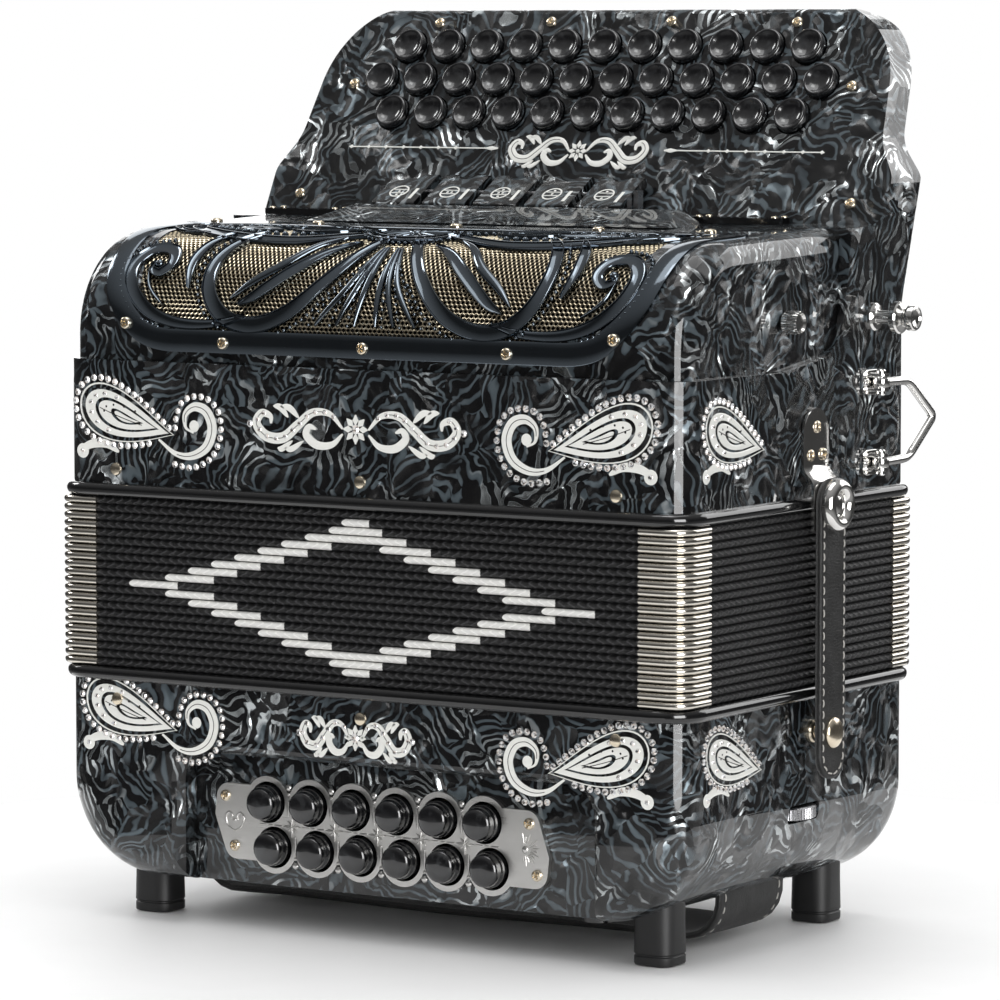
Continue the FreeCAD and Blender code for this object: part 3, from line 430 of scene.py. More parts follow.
def pearloid(name="pearloid", period=0.0035):
    """Black celluloid whose patches hold wavy slate veins; some veins are metallic flakes, coloured
    near-white as a painted highlight.
    """
    n = Nodes(name)
    drift = n.vector("SUBTRACT", n.noise(n.place, 40, 1.0, "Color"), (0.5, 0.5, 0.5))
    warped = n.vector("ADD", n.place, n.vector("SCALE", drift, scale=0.020))
    ripple = n.vector("SUBTRACT", n.noise(warped, 175, 1.0, "Color"), (0.5, 0.5, 0.5))
    warped = n.vector("ADD", warped, n.vector("SCALE", ripple, scale=0.0042))
    patch = n.add("ShaderNodeTexVoronoi", Vector=warped, Scale=66.0).outputs["Color"]
    heading = n.vector("NORMALIZE", n.vector("SUBTRACT", patch, (0.5, 0.5, 0.5)))
    along = n.vector("DOT_PRODUCT", warped, heading)
    rings = n.maths("MULTIPLY", n.noise(warped, 72, 0.5), 17.0)
    phase = n.maths("ADD", n.maths("MULTIPLY", along, 2 * PI / period), rings)
    wave = n.maths("MULTIPLY_ADD", n.maths("SINE", phase), 0.5, 0.5)
    edge = n.maths("ADD", wave, n.maths("MULTIPLY", n.maths("SUBTRACT", n.noise(warped, 110, 1.0), 0.5),
                                        0.7))
    band = n.ramp(edge, ((0.60, 0.0), (0.67, 1.0)))
    core = n.ramp(edge, ((0.68, 0.0), (1.0, 1.0)))
    tone = n.ramp(n.noise(n.vector("ADD", warped, (0.31, 0.17, 0.43)), 88, 1.0),
                  ((0.34, 0.12), (0.5, 0.6), (0.66, 1.0)))
    base = n.mix(n.maths("MULTIPLY", band, tone), colour(0.0035, 0.0035, 0.004),
                 colour(0.062, 0.080, 0.094))
    base = n.mix(n.maths("MULTIPLY", core, tone), base, colour(0.12, 0.148, 0.165))
    # glint: near-white colour painted on some veins, a painted highlight; the same mask also makes them
    # metallic.
    glint = n.ramp(n.noise(n.vector("ADD", warped, (0.7, 0.2, 0.9)), 66, 1.5), ((0.545, 0.0), (0.62, 1.0)))
    glint = n.maths("MULTIPLY", glint, n.ramp(edge, ((0.66, 0.0), (0.8, 1.0))))
    base = n.mix(glint, base, colour(0.50, 0.53, 0.54))
    lean = n.vector("SCALE", n.vector("SUBTRACT", patch, (0.5, 0.5, 0.5)), scale=0.9)
    twist = n.vector("SCALE", n.vector("SUBTRACT", n.noise(warped, 150, 1.0, "Color"), (0.5, 0.5, 0.5)),
                     scale=1.6)
    flat = n.add("ShaderNodeNewGeometry").outputs["Normal"]
    tilted = n.vector("NORMALIZE", n.vector("ADD", flat, n.vector("ADD", lean, twist)))
    metal = n.maths("MAXIMUM", glint, n.maths("MULTIPLY", n.maths("MULTIPLY", band, tone), 0.45))
    n.set(Base_Color=base, Metallic=metal, Roughness=0.27, Normal=tilted, Coat_Weight=1.0,
          Coat_Roughness=0.02,
          Coat_IOR=1.5, Specular_IOR_Level=0.2)
    return n.material


def lacquer(name, shade_of, roughness=0.1):
    """Polished lacquer with a faint ripple."""
    n = Nodes(name)
    cloud = n.noise(n.place, 220, 3)
    base = n.mix(cloud, colour(shade_of, shade_of, shade_of),
                 colour(shade_of * 2, shade_of * 2, shade_of * 2.2))
    rough = n.add("ShaderNodeMapRange", i0=n.noise(n.place, 90, 4), To_Min=roughness * 0.7,
                  To_Max=roughness * 1.5).outputs[0]
    n.set(Base_Color=base, Roughness=rough, Coat_Weight=0.6, Coat_Roughness=0.04,
          Normal=n.bump(n.noise(n.place, 350, 2), 0.06, 0.0004))
    return n.material


def metal(name, tint, roughness, grain=None, polish=0.05):
    """Metal with smudges, and brushed along X where grain is given."""
    n = Nodes(name)
    smudge = n.noise(n.place, 140, 5, roughness=0.6)
    darker = tuple(c * 0.86 for c in tint)
    if grain:
        stretched = n.vector("MULTIPLY", n.place, grain)
        lines = n.noise(stretched, 1.0, 4)
        height = lines
    else:
        lines = smudge
        height = n.noise(n.place, 900, 2)
    rough = n.add("ShaderNodeMapRange", i0=lines, To_Min=roughness * 0.7, To_Max=roughness * 1.4).outputs[0]
    n.set(Base_Color=n.mix(smudge, colour(*darker), colour(*tint)), Metallic=1.0, Roughness=rough,
          Normal=n.bump(height, polish, 0.0002))
    return n.material


def bellows_cloth(name, tint, relief, depth=0.85):
    """Embossed leathercloth: slanting ribs that run along each fold, their raised tops coloured lighter as a
    painted highlight.
    """
    n = Nodes(name)
    uv = n.add("ShaderNodeUVMap", {"uv_map": "cloth"}).outputs["UV"]
    split = n.add("ShaderNodeSeparateXYZ", i0=uv)
    along, across = split.outputs[0], split.outputs[1]
    swing = n.maths("MULTIPLY", n.maths("SINE", n.maths("MULTIPLY", across, 2 * PI)), 0.30)
    rib = n.maths("SINE", n.maths("MULTIPLY", n.maths("ADD", along, swing), 2 * PI))
    fine = n.maths("SINE", n.maths("MULTIPLY", n.maths("ADD", n.maths("MULTIPLY", along, 2.0), across),
                                   6 * PI))
    height = n.maths("ADD", n.maths("MULTIPLY", n.maths("POWER", n.maths("MULTIPLY_ADD", rib, 0.5, 0.5),
                                                        3.0), 1.0),
                     n.maths("MULTIPLY", fine, 0.10))
    height = n.maths("ADD", height, n.maths("MULTIPLY", n.noise(n.place, 2600, 2), 0.35))
    # Raised rib tops turn lighter, up to relief times the tint: a painted highlight on the ribs.
    wear_and_highlight = n.ramp(height, ((0.55, 0.0), (1.15, 1.0)))
    lighter = tuple(min(1.0, c * relief) for c in tint)
    rough = n.add("ShaderNodeMapRange", i0=n.noise(n.place, 700, 3), To_Min=0.42, To_Max=0.62).outputs[0]
    n.set(Base_Color=n.mix(wear_and_highlight, colour(*tint), colour(*lighter)), Roughness=rough,
          Normal=n.bump(height, depth, 0.0005))
    return n.material


def leather(name, tint, scale=900, roughness=0.42):
    n = Nodes(name)
    cells = n.add("ShaderNodeTexVoronoi", {"feature": "DISTANCE_TO_EDGE"}, Vector=n.place,
                  Scale=scale).outputs[0]
    creases = n.noise(n.place, scale / 5, 4, roughness=0.6)
    height = n.maths("ADD", n.ramp(cells, ((0.0, 0.0), (0.16, 1.0))), n.maths("MULTIPLY", creases, 0.8))
    # In the leather this is a lighter colour laid on at random, the leather's own tone.
    wear_and_highlight = tuple(min(1.0, c * 2.6 + 0.004) for c in tint)
    tone = n.ramp(n.noise(n.place, 120, 4), ((0.35, 0.0), (0.8, 1.0)))
    rough = n.add("ShaderNodeMapRange", i0=creases, To_Min=roughness * 0.8,
                  To_Max=roughness * 1.4).outputs[0]
    n.set(Base_Color=n.mix(tone, colour(*tint), colour(*wear_and_highlight)), Roughness=rough,
          Normal=n.bump(height, 0.35, 0.0003))
    return n.material


def felt(name, tint):
    """Brushed lining with short fibres."""
    n = Nodes(name)
    fibres = n.noise(n.vector("MULTIPLY", n.place, (1, 1, 2.5)), 1500, 4, roughness=0.7)
    lighter = tuple(c * 3 + 0.01 for c in tint)
    n.set(Base_Color=n.mix(n.ramp(fibres, ((0.4, 0.0), (0.75, 1.0))), colour(*tint), colour(*lighter)),
          Roughness=0.95, Sheen_Weight=0.5, Sheen_Roughness=0.4, Normal=n.bump(fibres, 0.9, 0.0006))
    return n.material


def rubber(name, tint):
    n = Nodes(name)
    speckle = n.noise(n.place, 1800, 3)
    lighter = tuple(c * 1.9 for c in tint)
    n.set(Base_Color=n.mix(n.noise(n.place, 60, 3), colour(*tint), colour(*lighter)),
          Roughness=n.add("ShaderNodeMapRange", i0=speckle, To_Min=0.36, To_Max=0.56).outputs[0],
          Normal=n.bump(speckle, 0.12, 0.0002))
    return n.material


def enamel(name, tint, streak, roughness=0.22):
    """Inlay celluloid: nearly even, with faint streaks."""
    n = Nodes(name)
    veins = n.noise(n.vector("MULTIPLY", n.place, (1, 1, 3)), 160, 3)
    other = tuple(c * streak for c in tint)
    n.set(Base_Color=n.mix(n.ramp(veins, ((0.35, 0.0), (0.7, 1.0))), colour(*other), colour(*tint)),
          Roughness=roughness, Coat_Weight=0.5, Coat_Roughness=0.05,
          Normal=n.bump(n.noise(n.place, 500, 2), 0.05, 0.0003))
    return n.material


def pearl_button(name):
    """Black pearl caps: smoky swirls under a clear polish."""
    n = Nodes(name)
    drift = n.vector("SUBTRACT", n.noise(n.place, 160, 2, "Color"), (0.5, 0.5, 0.5))
    warped = n.vector("ADD", n.place, n.vector("SCALE", drift, scale=0.012))
    smoke = n.ramp(n.noise(warped, 210, 3), ((0.48, 0.0), (0.75, 1.0)), smooth=True)
    n.set(Base_Color=n.mix(smoke, colour(0.004, 0.004, 0.005), colour(0.045, 0.047, 0.05)), Roughness=0.22,
          Metallic=n.maths("MULTIPLY", smoke, 0.5), Coat_Weight=1.0, Coat_Roughness=0.03)
    return n.material


def crystal(name):
    """Foil-backed rhinestone; its facets mirror the studio."""
    n = Nodes(name)
    tint = n.ramp(n.noise(n.place, 900, 1), ((0.3, (0.75, 0.76, 0.80)), (0.5, (0.97, 0.96, 0.94)),
                                            (0.7, (0.93, 0.80, 0.72))))
    n.set(Base_Color=tint, Metallic=n.ramp(n.noise(n.place, 700, 1), ((0.42, 0.25), (0.58, 0.95))),
          Roughness=0.08,
          Coat_Weight=1.0, Coat_Roughness=0.01)
    return n.material


def thread(name, tint):
    n = Nodes(name)
    twist = n.noise(n.vector("MULTIPLY", n.place, (1, 1, 0.4)), 3500, 3)
    darker = tuple(c * 0.55 for c in tint)
    n.set(Base_Color=n.mix(twist, colour(*darker), colour(*tint)), Roughness=0.8, Sheen_Weight=0.3,
          Normal=n.bump(twist, 0.5, 0.0002))
    return n.material


def wood(name):
    n = Nodes(name)
    grain = n.noise(n.vector("MULTIPLY", n.place, (0.08, 1, 1)), 900, 4)
    n.set(Base_Color=n.mix(grain, colour(0.33, 0.2, 0.1), colour(0.62, 0.43, 0.25)), Roughness=0.6,
          Normal=n.bump(grain, 0.2, 0.0003))
    return n.material


MATERIALS = {
    "pearloid": pearloid(),
    "bead": lacquer("black_lacquer", 0.004),
    # The cloth's third number sets how much lighter the painted rib highlight is.
    "bellows_cloth": bellows_cloth("bellows_cloth", (0.006, 0.006, 0.0065), 7.0),
    "white_cloth": bellows_cloth("white_cloth", (0.74, 0.735, 0.71), 1.15, 0.25),
    "nickel": metal("nickel", (0.80, 0.79, 0.77), 0.10),
    "corner_metal": metal("corner_metal", (0.74, 0.70, 0.63), 0.16),
    "screw_gold": metal("pale_gold", (0.84, 0.74, 0.58), 0.2),
    "plate_silver": metal("satin_plate", (0.72, 0.71, 0.69), 0.30, grain=(40, 900, 2200), polish=0.12),
    "gunmetal": metal("black_chrome", (0.15, 0.175, 0.20), 0.10),
    "mesh_bronze": metal("bronze_mesh", (0.50, 0.43, 0.31), 0.16),
    "button_black": pearl_button("black_pearl"),
    "rubber": rubber("rubber", (0.008, 0.008, 0.0085)),
    "leather": leather("leather", (0.008, 0.008, 0.008)),
    "felt": felt("felt_lining", (0.012, 0.012, 0.012)),
    "steel": metal("plated_steel", (0.6, 0.6, 0.62), 0.25),
    "wood": wood("beech"),
    "reed": metal("duralumin", (0.62, 0.62, 0.62), 0.35, grain=(900, 900, 60)),
    "inlay": enamel("white_inlay", (0.86, 0.86, 0.82), 0.93),
    "ink": enamel("black_line", (0.006, 0.006, 0.006), 2.0),
    "crystal": crystal("rhinestone"),
    "thread": thread("white_thread", (0.6, 0.58, 0.54)),
}
NODE_SLOTS = {row["node"]: row["material_slot"] for row in frame["record"]["subparts"]}
for node_name, node_object in frame["nodes"].items():
    node_object.data.materials.clear()
    node_object.data.materials.append(MATERIALS[NODE_SLOTS[node_name]])
def plan_path(half_w, half_d, radius):
    """Rounded rectangle in plan, as (x, y, outward x, outward y), from the middle of the -Y side."""
    corners = ((half_w - radius, radius - half_d, -90), (half_w - radius, half_d - radius, 0),
               (radius - half_w, half_d - radius, 90), (radius - half_w, radius - half_d, 180))
    path = [(0.0, -half_d, 0.0, -1.0)]
    for cx, cy, start in corners:
        for k in range(CORNER_STEPS + 1):
            a = math.radians(start + 90 * k / CORNER_STEPS)
            path.append((cx + radius * math.cos(a), cy + radius * math.sin(a), math.cos(a), math.sin(a)))
    return path


CORNER_STEPS = 10
FOLD_DEPTH = 2.6                            # depth of the valleys between two folds
EMBOSS_PITCH = 4.4                          # length of one embossed rib along a fold


def fold_outline(sharpness=0.55, steps=8):
    """Across one fold: (share of its height, how far it stands in from the crest)."""
    out = []
    for k in range(steps + 1):
        t = k / steps
        out.append((t, FOLD_DEPTH * (1 - math.sin(PI * t) ** sharpness)))
    return out


def make_bellows():
    """The stack of cloth folds, as one skin."""
    shape = Shape()
    path = plan_path(fold_hi.x, fold_hi.y, BELLOWS_R)
    distance, lengths = 0.0, [0.0]
    for a, b in zip(path, path[1:] + path[:1]):
        distance += math.hypot(b[0] - a[0], b[1] - a[1])
        lengths.append(distance)
    rows, uv_rows = [], []
    for i in range(FOLDS):
        for share, inset in fold_outline()[:-1] if i < FOLDS - 1 else fold_outline():
            z = fold_lo.z + (i + share) * FOLD_H
            rows.append([at(x - nx * inset, y - ny * inset, z) for x, y, nx, ny in path + path[:1]])
            uv_rows.append([(s / EMBOSS_PITCH, i * 0.5 + share) for s in lengths])
    shape.grid(rows)
    skin = shape.piece("bellows_folds", MATERIALS["bellows_cloth"], None, "bellows_cloth", ("bellows",),
                       smooth=60)
    put_uv(skin, rows, uv_rows, seamed=True)
    across_bellows(skin)


def put_uv(obj, rows, uv_rows, seamed=False):
    """Give a mesh UVs named cloth, looked up from its points; seamed rows run right round and meet."""
    table = {}
    for row, uv_row in zip(rows, uv_rows):
        for p, uv in zip(row, uv_row):
            table[(round(p.x, 5), round(p.y, 5), round(p.z, 5))] = uv
    layer = obj.data.uv_layers.new(name="cloth")
    for polygon in obj.data.polygons:
        found = [table[tuple(round(c, 5) for c in obj.data.vertices[v].co)] for v in polygon.vertices]
        low, span = min(u for u, _ in found), max(uv_rows[0])[0]
        for loop, (u, v) in zip(polygon.loop_indices, found):
            wrapped = u - span if u - low > span / 2 > 0 and seamed else u
            layer.data[loop].uv = (wrapped, v)


def across_bellows(piece):
    """Bake a piece's placement into its own mesh."""
    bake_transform(piece)


def make_corner_caps():
    """Pressed metal corners, one on every fold at each corner."""
    shape = Shape()
    leg, lift, r = CORNER_LEG, 0.35, BELLOWS_R
    for sx in (-1, 1):
        for sy in (-1, 1):
            path = [(fold_hi.x - leg, fold_hi.y, 0.0, 1.0)]
            for k in range(9):
                a = PI / 2 - PI / 2 * k / 8
                path.append((fold_hi.x - r + r * math.cos(a), fold_hi.y - r + r * math.sin(a), math.cos(a),
                             math.sin(a)))
            path.append((fold_hi.x, fold_hi.y - leg, 1.0, 0.0))
            for i in range(FOLDS):
                rows = []
                for x, y, nx, ny in path:
                    ring = []
                    for k in range(11):
                        a = -PI / 2 + PI * k / 10
                        ring.append((1.5 * math.cos(a) - 1.5 + lift + 0.25, 0.455 * math.sin(a)))
                    ring += [(-2.2, 0.3), (-2.2, -0.3)]
                    rows.append([at(sx * (x + nx * out), sy * (y + ny * out),
                                    fold_lo.z + (i + 0.5 + t) * FOLD_H)
                                 for out, t in ring])
                shape.closed_tube(rows)
    caps = shape.piece("bellows_corner_caps", MATERIALS["corner_metal"], None, "nickel",
                       ("bellows_corners",))
    across_bellows(caps)


def diamond_rows():
    """Strips of the stepped white diamond: (fold, from x, to x), about x = -1.3."""
    middle, tallest, step, strip = FOLDS // 2, 9, 11.4, 24.0
    rows = []
    for k in range(-tallest, tallest + 1):
        level = abs(k)
        if level == tallest:
            rows.append((middle + k, -6.5, 6.5))
        elif level == tallest - 1:
            rows.append((middle + k, -12.6, 12.6))
        else:
            outer = 12.6 + (tallest - 1 - level) * step + (6.5 if level == 0 else 0)
            inner = outer - strip
            if inner < 1:
                rows.append((middle + k, -outer, outer))
            else:
                rows.append((middle + k, inner, outer))
                rows.append((middle + k, -outer, -inner))
    return rows


def make_diamond():
    """White cloth strips glued over the folds, stepping out into a diamond, front side only."""
    shape = Shape()
    uv_points, uv_values = [], []
    shift, thick = -1.3, 0.32
    for fold, x0, x1 in diamond_rows():
        rows, uvs = [], []
        for share, inset in fold_outline(steps=10):
            share = 0.06 + share * 0.88
            inset = FOLD_DEPTH * (1 - math.sin(PI * share) ** 0.55)
            bulge = (1 - (2 * share - 1) ** 2)
            ends = 2.0 * (1 - math.sqrt(max(0.0, bulge)))
            z = fold_lo.z + (fold + share) * FOLD_H
            y = fold_lo.y + inset - thick
            count = max(4, round((x1 - x0) / 2.2))
            xs = [x0 + ends + (x1 - x0 - 2 * ends) * j / count for j in range(count + 1)]
            rows.append([at(shift + x, y, z) for x in xs])
            uvs.append([((shift + x) / EMBOSS_PITCH, fold * 0.5 + share) for x in xs])
        back = [[p + Vector((0, 0.6 * MM, 0)) for p in row] for row in rows]
        ring_rows = []
        for j in range(len(rows[0])):
            ring_rows.append([row[j] for row in rows] + [row[j] for row in reversed(back)])
        shape.closed_tube(ring_rows)
        uv_points += rows + back
        uv_values += uvs + uvs
    strips = shape.piece("bellows_diamond", MATERIALS["white_cloth"], None, "bellows_cloth", smooth=50)
    put_uv(strips, uv_points, uv_values)
    across_bellows(strips)


make_bellows()
make_corner_caps()
make_diamond()


# ---- ornaments -----------------------------------------------------------------------------------
def rhinestone(shape, surface, u, v, radius=1.35):
    """Faceted stone in a low round setting."""
    steps = 8
    rings = ((radius * 1.12, -0.1), (radius * 1.12, 0.35), (radius, 0.45), (radius * 0.62, 1.05))
    rows = []
    for r, h in rings:
        rows.append([surface(u + r * math.cos(2 * PI * (k + 0.5) / steps),
                             v + r * math.sin(2 * PI * (k + 0.5) / steps), h)
                     for k in range(steps)])
    shape.closed_tube(rows)


def stones_along(shape, surface, path, pitch=3.5, radius=1.35):
    for p in resample([Vector(q[:2]) for q in path], pitch):
        rhinestone(shape, surface, p.x, p.y, radius)


def leaf_edge(length, breadth, bend, grow=0.0, count=48):
    """Closed teardrop: its point at +length / 2, round end at -length / 2, its spine curved by bend."""
    out = []
    for k in range(count):
        t = 2 * PI * k / count
        x = (length / 2 + grow) * math.cos(t)
        y = (breadth / 2 + grow) * math.sin(t) * math.sin(t / 2) ** 1.3 * 1.12
        out.append(Vector((x, y + bend * (x / (length / 2)) ** 2)))
    return out


def leaf_ring(shape, surface, place, outer, inner, height, closed=True):
    """Flat ring between two teardrops with the same number of points."""
    rows = []
    for p, q in zip(outer, inner):
        a, b = place(p), place(q)
        rows.append([surface(a.x, a.y, -0.1), surface(a.x, a.y, height * 0.7),
                     surface(*a.lerp(b, 0.12), height),
                     surface(*a.lerp(b, 0.88), height), surface(b.x, b.y, height * 0.7), surface(b.x, b.y,
                                                                                                 -0.1)])
    shape.grid(rows, close_rows=True, close_across=True)


def leaf_fill(shape, surface, place, edge, height):
    """Solid teardrop, as strips between its two sides."""
    n = len(edge)
    rows = []
    for k in range(1, n // 2):
        a, b = place(edge[k]), place(edge[n - k])
        rows.append([surface(a.x, a.y, -0.1), surface(a.x, a.y, height * 0.7),
                     surface(*a.lerp(b, 0.08), height),
                     surface(*a.lerp(b, 0.92), height), surface(b.x, b.y, height * 0.7), surface(b.x, b.y,
                                                                                                 -0.1)])
    shape.closed_tube(rows)


def turned(origin, angle, scale=1.0, flip=1):
    """Place that turns, scales and mirrors a flat point about an origin."""
    c, s = math.cos(math.radians(angle)), math.sin(math.radians(angle))

    def place(p):
        x, y = p[0] * scale, p[1] * scale
        x, y = x * c - y * s, x * s + y * c
        return Vector((origin[0] + flip * x, origin[1] + y))
    return place


INLAY = 0.35                                # white inlays stand this far proud of the celluloid
INK = 0.08                                  # black lines stand this far proud of the inlays


def leaf_ornament(white, ink, stones, surface, origin, flip, scale=1.0, tail=True):
    """Generic leaf with a curled tail, edged with stones; it points towards the middle when flip is 1."""
    place = turned(origin, -16, scale, flip)
    straight = turned(origin, 0, scale, flip)
    bend = 1.2
    rim = leaf_edge(45, 23, bend, 1.8)
    leaf_ring(white, surface, place, rim, leaf_edge(45, 23, bend, 1.1), INLAY)
    leaf_ring(white, surface, place, leaf_edge(43, 20.5, bend), leaf_edge(33, 14.0, bend), INLAY)
    leaf_ring(white, surface, place, leaf_edge(29.5, 11.2, bend), leaf_edge(17, 5.4, bend), INLAY)
    leaf_fill(white, surface, place, leaf_edge(13, 3.2, bend), INLAY)
    for share in range(7):
        a = PI * 0.62 + share * PI * 0.125
        x = 38 / 2 * math.cos(a)
        y = 17.2 / 2 * math.sin(a) * math.sin(a / 2) ** 1.3 * 1.12 + bend * math.cos(a) ** 2
        p = place((x, y))
        rhinestone(stones, surface, p.x, p.y, 0.95 * scale)
    for share in range(5):
        a = PI * 1.05 - share * PI * 0.16
        p = place((23.5 / 2 * math.cos(a), 8.3 / 2 * math.sin(a) + bend * 0.5))
        dome(ink, surface, p.x, p.y, 0.75 * scale, INLAY + 0.12, 8)
    vein = [place((x, bend * (x / 20) ** 2)) for x in (-14, -6, 2, 8)]
    stroke(ink, surface, spline(vein), 0.35, INLAY + INK)
    sprig = [straight(p) for p in ((-4, -13.2), (-10, -10.2), (-17, -10.4), (-22.5, -12.6))]
    stroke(white, surface, spline(sprig), taper(3.6 * scale, 0.25, 0.7), INLAY)
    end = straight((-22.2, -13.4))
    dome(white, surface, end.x, end.y, 3.0 * scale, INLAY, 16)
    rhinestone(stones, surface, end.x, end.y, 1.0 * scale)
    edge_path = [place(p) for p in leaf_edge(45, 23, bend, 4.0)[5:-7]]
    stones_along(stones, surface, edge_path, 3.6 * scale, 1.3 * scale)
    if not tail:
        return
    sweep = [straight(p) for p in ((16, -7.4), (24, -12.6), (32, -13.4), (39.5, -9.5), (42.4, -2.0),
                                   (39.6, 4.6), (33.8, 6.4),
                                   (29.2, 3.2), (29.4, -2.0), (33.2, -4.0))]
    sweep = spline(sweep, 7)
    stroke(white, surface, sweep, lambda t: scale * (0.9 + 3.6 * math.sin(PI * min(1.0, t * 1.08)) ** 1.2),
           INLAY)
    stroke(ink, surface, sweep[8:-10], 0.3, INLAY + INK)
    bud = straight((33.4, -1.4))
    dome(white, surface, bud.x, bud.y, 2.4 * scale, INLAY, 14)
    loop = [straight(p) for p in ((24, -17.0), (33, -18.0), (42, -13.6), (46.4, -5.2), (46.0, 3.4),
                                  (41.6, 9.0), (34.6, 10.6), (28.0, 8.4),
                                  (25.0, 3.0), (24.2, -2.4))]
    stones_along(stones, surface, spline(loop), 3.5 * scale, 1.25 * scale)


def make_leaves(surfaces):
    """All leaf ornaments of one body, gathered as white inlay, black lines and stones."""
    white, ink, stones = Shape(), Shape(), Shape()
    for surface, origin, flip, scale, tail in surfaces:
        leaf_ornament(white, ink, stones, surface, origin, flip, scale, tail)
    return white, ink, stones


treble = make_leaves([
    (on_front(FRONT_Y), (-113.5, 203.2), 1, 1.0, True),
    (on_front(FRONT_Y), (110.5, 204.2), -1, 1.0, True),
    (on_side(SIDE_X), (-52.0, 203.0), 1, 0.95, False),
    (on_side(-SIDE_X), (-52.0, 203.0), 1, 0.95, False)])
bass = make_leaves([
    (on_front(FRONT_Y), (-112.0, 84.0), 1, 0.97, True),
    (on_front(FRONT_Y), (110.0, 80.0), -1, 0.97, True),
    (on_side(SIDE_X), (-52.0, 78.5), 1, 0.9, False),
    (on_side(-SIDE_X), (-52.0, 78.5), 1, 0.9, False)])


def scroll_emblem(white, ink, stones, surface, centre, half, tall, with_stones=True):
    """Symmetrical scrollwork: mirrored S-curls either side of a small rosette."""
    s = tall / 15.0
    for flip in (-1, 1):
        def place(p, flip=flip):
            return Vector((centre[0] + flip * p[0] * half / 50.0, centre[1] + p[1] * s))
        main = [place(p) for p in ((6, 0), (12, 5.4), (20, 5.6), (27, 0.6), (34, -4.4), (42, -4.0),
                                   (46.5, 0.6),
                                   (44.0, 4.6), (40, 3.6), (39.6, 0.8))]
        stroke(white, surface, spline(main, 8), lambda t: 0.8 + 3.4 * s * math.sin(PI * t) ** 0.8, INLAY)
        stroke(ink, surface, spline(main, 8)[10:-14], 0.28, INLAY + INK)
        low = [place(p) for p in ((6, -2), (11, -6.2), (18, -6.6), (23, -3.0), (21.6, 0.2), (18.4, -0.6))]
        stroke(white, surface, spline(low, 8), lambda t: 0.7 + 2.6 * s * math.sin(PI * t) ** 0.8, INLAY)
        for shift, length in ((26.5, 8.6), (31.5, 7.0)):
            blade = [place(p) for p in ((shift, 3.4), (shift + length * 0.5, 7.0), (shift + length, 7.6))]
            stroke(white, surface, spline(blade, 6), taper(2.6 * s, 0.15, 0.1), INLAY)
            blade = [place((p[0], -p[1])) for p in ((shift - 2, 5.4), (shift + length * 0.4, 8.6),
                                                    (shift + length - 2, 8.4))]
            stroke(white, surface, spline(blade, 6), taper(2.3 * s, 0.15, 0.1), INLAY)
        if with_stones:
            stones_along(stones, surface, spline(main, 8)[6:-14], 4.4, 0.95)
            far = place((49.6, 0.4))
            rhinestone(stones, surface, far.x, far.y, 1.3)
    for k in range(8):
        a = 2 * PI * k / 8
        petal = [Vector((centre[0] + r * math.cos(a), centre[1] + r * math.sin(a)))
                 for r in (1.6 * s, 3.4 * s, 5.6 * s)]
        stroke(white, surface, petal, taper(2.7 * s, 0.1, 0.15), INLAY)
    if with_stones:
        rhinestone(stones, surface, centre[0], centre[1], 1.7)
    else:
        dome(white, surface, centre[0], centre[1], 1.2 * s, INLAY + 0.2)


scroll_emblem(*treble, on_front(FRONT_Y), (-2.0, 203.6), 51, 15.5)
scroll_emblem(*bass, on_front(FRONT_Y), (-2.5, 82.0), 27, 13.5)
for parts, label, body in ((treble, "treble", "treble_end"), (bass, "bass", "bass_end")):
    parts[0].piece(label + "_inlay", MATERIALS["inlay"], body, None)
    parts[1].piece(label + "_inlay_lines", MATERIALS["ink"], body, None)
    parts[2].piece(label + "_rhinestones", MATERIALS["crystal"], body, None, smooth=5)


# ---- grille --------------------------------------------------------------------------------------
GRILLE_BAND = 9.0                           # width of the grille's plain border
MESH_PITCH = 2.1                            # spacing of the holes in the perforated sheet
MESH_DROP = 0.7                             # the sheet lies this far under the scrollwork
GRILLE_HALF = ((0, 0), (40, 0), (80, 0), (97, 0.2), (108, 2.8), (115.5, 7.8), (123, 15.6), (128.7, 25.6),
               (131.6, 40),
               (133, 62), (134, 80), (134.2, 93), (132.6, 97), (128, 98), (100, 98), (60, 98), (20, 98))


def grille_outline(inset):
    """The grille's outline moved in by inset, as a closed path."""
    half = [Vector(p) for p in GRILLE_HALF]
    path = spline(half + [Vector((-p.x, p.y)) for p in reversed(half[1:])], 5, closed=True)
    return [p + side * inset for p, side in zip(path, across_of(path, True))]


def inside(path, u, v):
    """True when (u, v) lies within a closed path."""
    hit = False
    for a, b in zip(path, path[1:] + path[:1]):
        if (a.y > v) != (b.y > v) and u < a.x + (v - a.y) / (b.y - a.y) * (b.x - a.x):
            hit = not hit
    return hit


def make_sheet():
    """Sheet with round-cornered holes in a honeycomb pattern, curved like the cover."""
    shape = Shape()
    edge = resample(grille_outline(GRILLE_BAND - 1.2), 4.0, closed=True)
    rise = MESH_PITCH * math.sqrt(3) / 2
    outer_r, hole_r, thick = MESH_PITCH / math.sqrt(3), MESH_PITCH * 0.39, 0.45
    turns = [(math.cos(PI / 6 + PI / 3 * k), math.sin(PI / 6 + PI / 3 * k)) for k in range(6)]
    for row in range(int(GRILLE_TALL / rise) + 1):
        v = row * rise
        for col in range(-66, 67):
            u = (col + (row % 2) * 0.5) * MESH_PITCH
            if not inside(edge, u, v):
                continue
            rings = []
            for r, h in ((outer_r, 0.18), (hole_r, 0.0), (hole_r, -thick), (outer_r, -thick)):
                rings.append([on_cover(u + c * r, v + s * r, h - MESH_DROP) for c, s in turns])
            shape.grid(rings, close_across=True)
    shape.piece("grille_sheet", MATERIALS["mesh_bronze"], "treble_end", "mesh_bronze", ("grille_mesh",),
                smooth=25)


def beads(shape, surface, path, pitch, radius, height):
    for p in resample([Vector(q[:2]) for q in path], pitch):
        dome(shape, surface, p.x, p.y, radius, height, 8)


